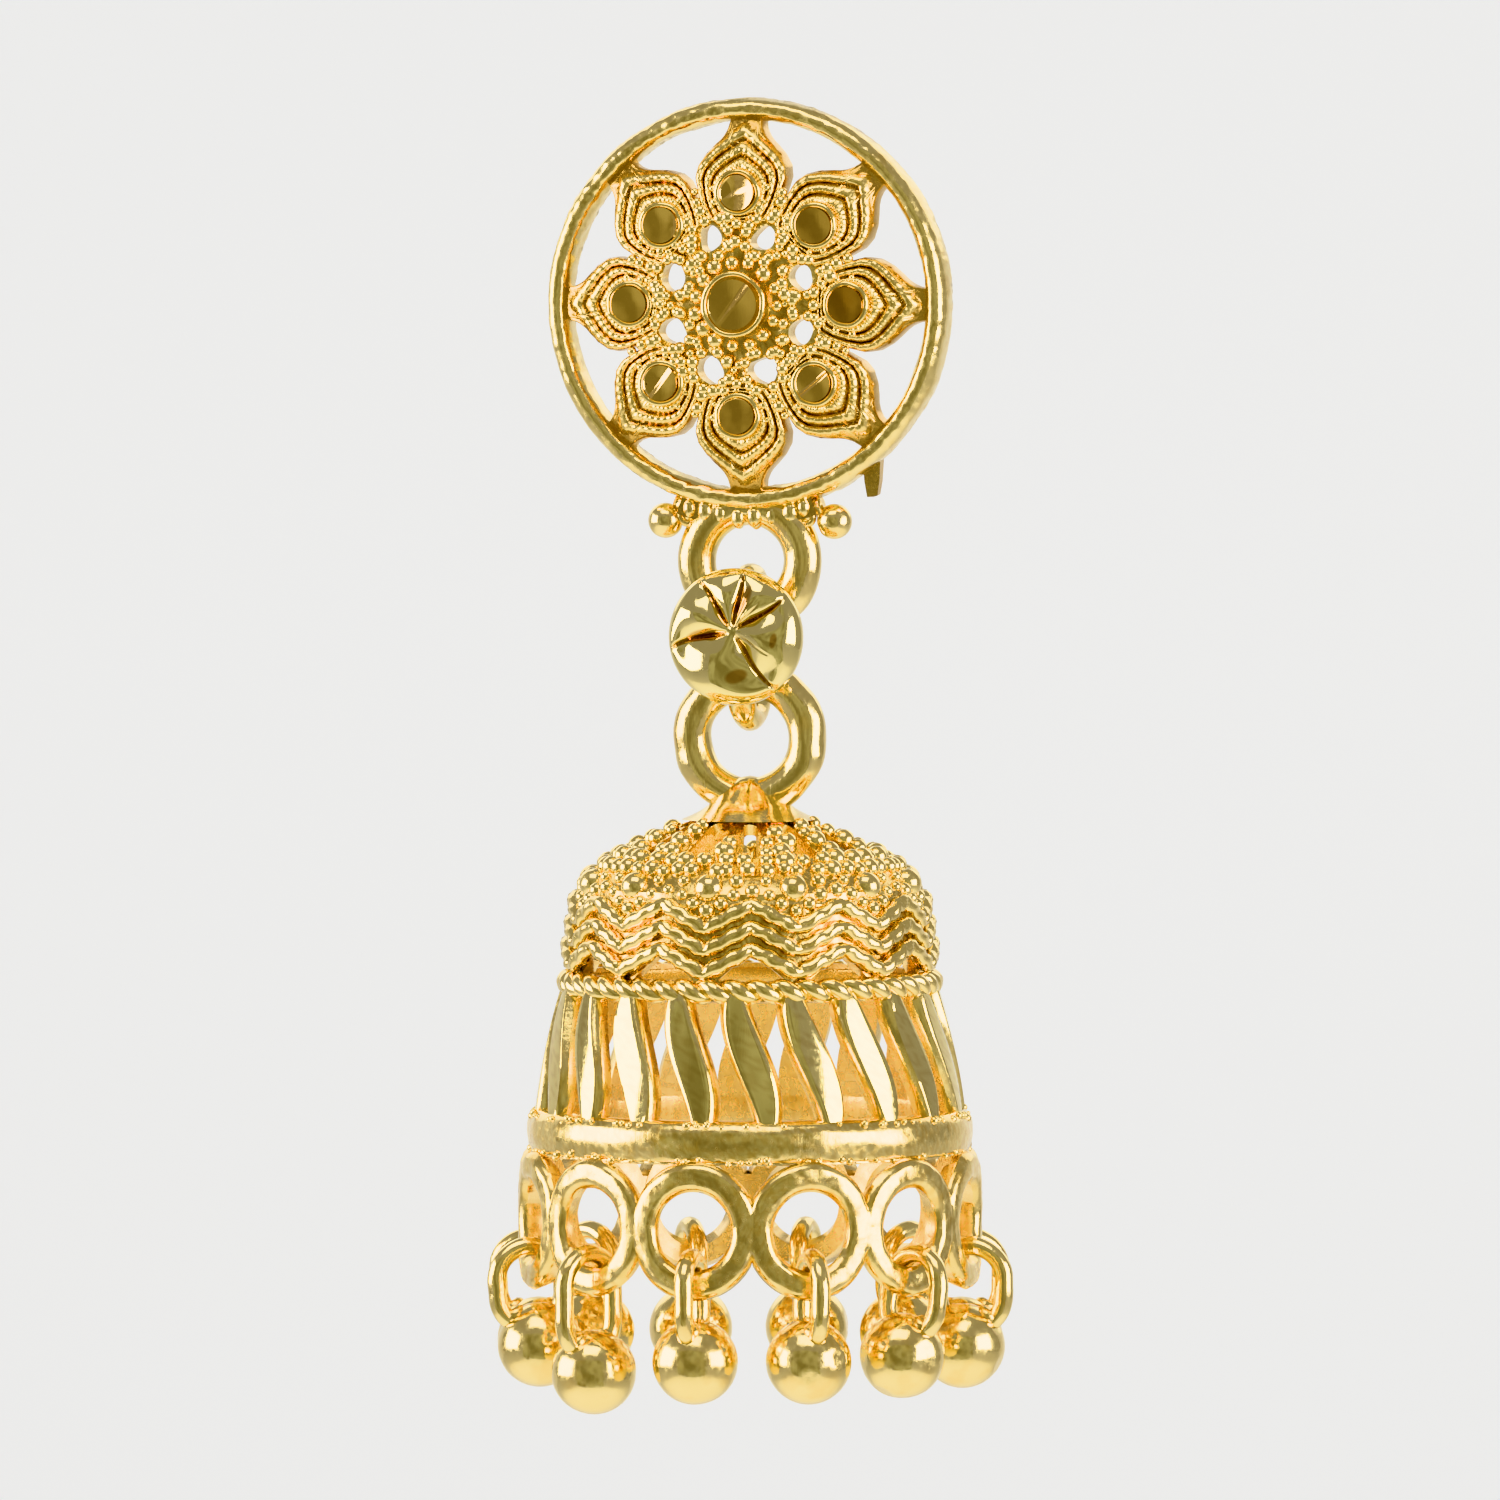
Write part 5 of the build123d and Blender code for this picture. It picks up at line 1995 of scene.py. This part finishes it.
class BeadDrops(SubAssembly):
    """The ball drops on their wire loops."""

    s: DropSizes
    body = "bell"
    slot = "drop_gold"
    seed = 77

    def build(self) -> None:
        """Builds every drop."""
        for number, row in enumerate(DROPS):
            node = f"bead_drop_{number + 1:02d}"
            self.start(f"{node}_metal")
            self._loop(number, row)
            middle = np.array([-self.s.ball_in, 0.0, -row.leg - self.s.arc - self.s.overlap])
            self._ball(number, row, middle)
            self._collars(number, row, middle)
            self.done(node)

    def _settle(self, points: Array, number: int, row: DropRow) -> Array:
        """Moves a drop from its own frame to its place on the skirt.

        Args:
            points: Points of the drop, its pivot at the origin and +x outward.
            number: Which drop it is.
            row: How it has settled.

        Returns:
            The points in the frame of the whole earring.
        """
        swing = turn_about(0, math.radians(row.sideways)) @ turn_about(1, math.radians(-row.outward))
        local = points @ swing.T + (self.s.reach, 0, 0)
        return local @ turn_about(2, FRONT + number * FULL / SECTORS).T + (0, HANG_Y, self.s.pivot_z)

    def _loop(self, number: int, row: DropRow) -> None:
        """Adds the long wire loop of a drop.

        Args:
            number: Which drop it is.
            row: How it is made and has settled.
        """
        s = self.s
        line = oval_loop(s.arc, row.leg, 30, 8)
        path = np.stack([line[:, 0], np.zeros(len(line)), line[:, 1]], axis=-1)
        radii = np.full((len(path), s.wire_sides), s.wire + s.filed)
        points, faces = sweep(path, radii, True, np.array([0.0, 1.0, 0.0]))
        uneven = unevenness(points, Layer(100 + number, 1.0, 0.012))
        points = points + (points - path[:, None]) / s.wire * uneven[..., None]
        self.draft.add(self._settle(points, number, row), faces, Finish.WIRE)

    def _ball(self, number: int, row: DropRow, middle: Array) -> None:
        """Adds the ball of a drop, with the flat spots of its burnishing.

        Args:
            number: Which drop it is.
            row: How it is made and has settled.
            middle: Where the ball's middle is in the drop's own frame.
        """
        s = self.s
        ball, faces = unit_ball(44, 64)
        ball = hammered(ball * (s.ball - 0.01), self.rng, row.cuts, s.ball * row.cut_share, 0.6)
        ball = ball * (0.994 + unevenness(ball, Layer(200 + number, 2.0, 0.006)))[..., None]
        self.draft.add(self._settle(ball + middle, number, row), faces, Finish.POLISHED)

    def _collars(self, number: int, row: DropRow, middle: Array) -> None:
        """Adds the soldered collars where the loop's wire enters the ball, on both sides.

        Args:
            number: Which drop it is.
            row: How it is made and has settled.
            middle: Where the ball's middle is in the drop's own frame.
        """
        s = self.s
        collar, faces = lathe(COLLAR, (0, 0, 0), "z", s.collar_steps)
        for side in (-1, 1):
            lean = s.collar_lean * side
            tip = np.array([math.sin(lean) * 0.9 + 0.12, 0.0, math.cos(lean)])
            points = collar @ turn_about(1, lean).T + (middle + (s.ball - 0.08) * tip)
            # The soldered collars get a little painted shade.
            self.draft.add(self._settle(points, number, row), faces, Finish.CAST, cavity=0.2)


@dataclass(frozen=True)
class SoftBox:
    """One light: its direction from the object in degrees, distance and size in metres, and brightness."""

    name: str
    azimuth: float
    elevation: float
    distance: float
    size: tuple[float, float]
    glow: float


SOFT_BOXES: tuple[SoftBox, ...] = (
    SoftBox("key_left", -84.0, 8.0, 0.5, (0.42, 0.3), 12.0),
    SoftBox("key_right", 62.0, 7.0, 0.5, (0.37, 0.3), 12.0),
    SoftBox("top", -15.0, 64.0, 0.5, (0.36, 0.26), 4.0),
    SoftBox("rear_left", -155.0, 25.0, 0.6, (0.3, 0.3), 1.5),
    SoftBox("rear_right", 150.0, 25.0, 0.6, (0.3, 0.3), 1.5),
)


@dataclass(frozen=True)
class StageSizes:
    """Camera, floor, wall and flag, in metres and degrees."""

    azimuth: float = 14.5
    elevation: float = 2.4
    lens: float = 370.0
    sensor: float = 36.0
    clip_start: float = 0.01
    filled: float = 0.87
    floor_drop: float = 0.36
    floor_reach: float = 1.6
    bend: float = 0.35
    bend_steps: int = 20
    wall: float = 1.15
    wall_height: float = 1.4
    surround: float = 0.36
    surround_colour: Colour = (1.0, 0.99, 0.97)
    flag_azimuth: float = -10.0
    flag_distance: float = 0.42
    flag: tuple[float, float] = (0.7, 0.6)
    flag_rise: float = -0.04


@dataclass(frozen=True)
class Paper:
    """A stage paper: its own colour, and the light that it gives in its bright and darker patches."""

    colour: Colour
    glow: Colour
    shade: Colour
    patch_scale: float = 5.0
    patch_limits: tuple[float, float] = (0.38, 0.62)
    grain_scale: float = 900.0
    grain_strength: float = 0.05
    grain_depth: float = 0.0001
    roughness: float = 0.95
    gloss: float = 0.1


FLOOR_PAPER = Paper((0.78,) * 3, (0.1,) * 3, (0.1,) * 3)
WALL_PAPER = Paper((0.9,) * 3, (0.2,) * 3, (0.2,) * 3)
FLAG_CARD = Paper((0.02,) * 3, (0.42, 0.43, 0.32), (0.2, 0.19, 0.12))


class Studio:
    """The pale floor and wall, the dark flag, the soft lights and the camera."""

    def __init__(self, sizes: StageSizes, boxes: Iterable[SoftBox]) -> None:
        """Keeps the sizes and the lights, and measures the finished object.

        Args:
            sizes: Sizes of the stage.
            boxes: The soft lights.
        """
        self.s = sizes
        self.boxes = tuple(boxes)
        low, high = (Vector(corner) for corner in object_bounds())
        self.foot, self.height = low.z, high.z - low.z
        self.middle = Vector((0.0, HANG_Y * MM, (low.z + high.z) / 2))

    def build(self) -> None:
        """Builds the stage round the whole object."""
        self._world()
        self._floor()
        self._flag()
        for box in self.boxes:
            self._light(box)
        self._camera()

    def _world(self) -> None:
        """Sets a soft pale surround and plain display of the light."""
        world = bpy.data.worlds.new("studio_surround")
        world.use_nodes = True
        background = world.node_tree.nodes["Background"]
        background.inputs["Color"].default_value = (*self.s.surround_colour, 1.0)
        background.inputs["Strength"].default_value = self.s.surround
        bpy.context.scene.world = world
        bpy.context.scene.view_settings.view_transform = "Khronos PBR Neutral"

    def direction(self, azimuth: float, elevation: float) -> Vector:
        """Gives the direction from the object to a place on the stage.

        Args:
            azimuth: Direction round the object from the camera's side, in degrees.
            elevation: Height above the horizon, in degrees.

        Returns:
            A unit vector.
        """
        turn, lift = math.radians(azimuth + self.s.azimuth), math.radians(elevation)
        return Vector((math.sin(turn) * math.cos(lift), -math.cos(turn) * math.cos(lift), math.sin(lift)))

    def _aim(self, name: str, data: bpy.types.ID, offset: Vector, heading: Vector) -> bpy.types.Object:
        """Puts a light or a camera at an offset from the object's middle, and turns it.

        Args:
            name: Name of the new object.
            data: The light or the camera.
            offset: Where it stands, from the middle, in metres.
            heading: Where it looks.

        Returns:
            The new object.
        """
        holder = bpy.data.objects.new(name, data)
        holder.location = self.middle + offset
        holder.rotation_euler = heading.to_track_quat("-Z", "Y").to_euler()
        bpy.context.scene.collection.objects.link(holder)
        return holder

    def _paper(self, name: str, paper: Paper) -> bpy.types.Material:
        """Makes the material of a sheet of paper or card.

        Args:
            name: Name of the material.
            paper: Its colours and light.

        Returns:
            The new material.
        """
        kit = NodeKit(name, 0.0)
        kit.shader.inputs["Base Color"].default_value = (*paper.colour, 1.0)
        kit.shader.inputs["Roughness"].default_value = paper.roughness
        kit.shader.inputs["Specular IOR Level"].default_value = paper.gloss
        kit.shader.inputs["Emission Strength"].default_value = 1.0
        patches = kit.remap(kit.noise(paper.patch_scale, 2.0), paper.patch_limits, (0.0, 1.0))
        kit.feed(kit.blend(paper.shade, paper.glow, patches), "Emission Color")
        grain = kit.nodes.new("ShaderNodeTexNoise")
        grain.inputs["Scale"].default_value = paper.grain_scale
        kit.feed(kit.bump(grain.outputs["Fac"], paper.grain_strength, paper.grain_depth), "Normal")
        return kit.material

    def _sheet(self, name: str, grid: Array, paper: Paper) -> bpy.types.Object:
        """Makes a plain sheet of paper or card for the stage.

        Args:
            name: Name of the sheet.
            grid: A grid of points in metres.
            paper: Its colours and light.

        Returns:
            The new object.
        """
        mesh = bpy.data.meshes.new(name)
        mesh.from_pydata(grid.reshape(-1, 3).tolist(), [], grid_faces(*grid.shape[:2]).tolist())
        mesh.shade_smooth()
        mesh.materials.append(self._paper(name, paper))
        sheet = bpy.data.objects.new(name, mesh)
        bpy.context.scene.collection.objects.link(sheet)
        sheet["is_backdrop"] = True
        return sheet

    def _floor(self) -> None:
        """Builds a floor that curves up into a wall behind."""
        s = self.s
        drop = self.foot - s.floor_drop
        bend = np.linspace(0.0, math.pi / 2, s.bend_steps)
        behind = np.stack([s.wall - s.bend * (1 - np.sin(bend)), drop + s.bend * (1 - np.cos(bend))], axis=-1)
        behind = np.vstack([behind, (s.wall, drop + s.wall_height)])
        floor = np.array([(-s.floor_reach, drop), behind[0]])
        yaw = turn_about(2, math.radians(s.azimuth))
        sides = (-s.floor_reach, s.floor_reach)
        for name, profile, paper in (("floor", floor, FLOOR_PAPER), ("wall", behind, WALL_PAPER)):
            rows = [np.insert(profile, 0, across, axis=1) @ yaw.T for across in sides]
            self._sheet(f"studio_{name}", np.array(rows), paper)

    def _flag(self) -> None:
        """Hangs a dark card round the camera, which flat polished faces mirror."""
        s = self.s
        centre = np.array(self.middle + self.direction(s.flag_azimuth, 0.0) * s.flag_distance)
        centre[2] += s.flag_rise
        across = np.array(self.direction(s.flag_azimuth + 90.0, 0.0)) * s.flag[0] / 2
        upward = UPWARD * s.flag[1] / 2
        grid = np.array([[centre + across * a + upward * b for a in (-1, 1)] for b in (-1, 1)])
        card = self._sheet("studio_flag", grid, FLAG_CARD)
        card.visible_camera = False
        card.visible_shadow = False

    def _light(self, box: SoftBox) -> None:
        """Adds a soft light that looks at the object; a glow of 1 is that of white paper.

        Args:
            box: The light.
        """
        light = bpy.data.lights.new(box.name, "AREA")
        light.shape = "RECTANGLE"
        light.size, light.size_y = box.size
        light.energy = box.glow * box.size[0] * box.size[1] * math.pi
        offset = self.direction(box.azimuth, box.elevation) * box.distance
        self._aim(box.name, light, offset, -offset)

    def _camera(self) -> None:
        """Adds the camera, far enough away that the object fills its share of the frame's height."""
        s = self.s
        camera = bpy.data.cameras.new("camera")
        camera.lens = s.lens
        camera.sensor_width = s.sensor
        camera.clip_start = s.clip_start
        distance = self.height / s.filled * s.lens / s.sensor
        heading = self.direction(0.0, s.elevation)
        bpy.context.scene.camera = self._aim("camera", camera, heading * distance, -heading)
        log.info("camera %.3f m away", distance)


def main() -> None:
    """Builds every sub-assembly in order, then the stage."""
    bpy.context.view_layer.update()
    materials = Materials()
    RosetteStud(StudSizes(), materials).build()
    EarPost(PostSizes(), materials).build()
    FlowerLink(LinkSizes(), materials).build()
    Bell(BellSizes(), materials).build()
    BeadDrops(DropSizes(), materials).build()
    Studio(StageSizes(), SOFT_BOXES).build()


if __name__ == "__main__":
    main()
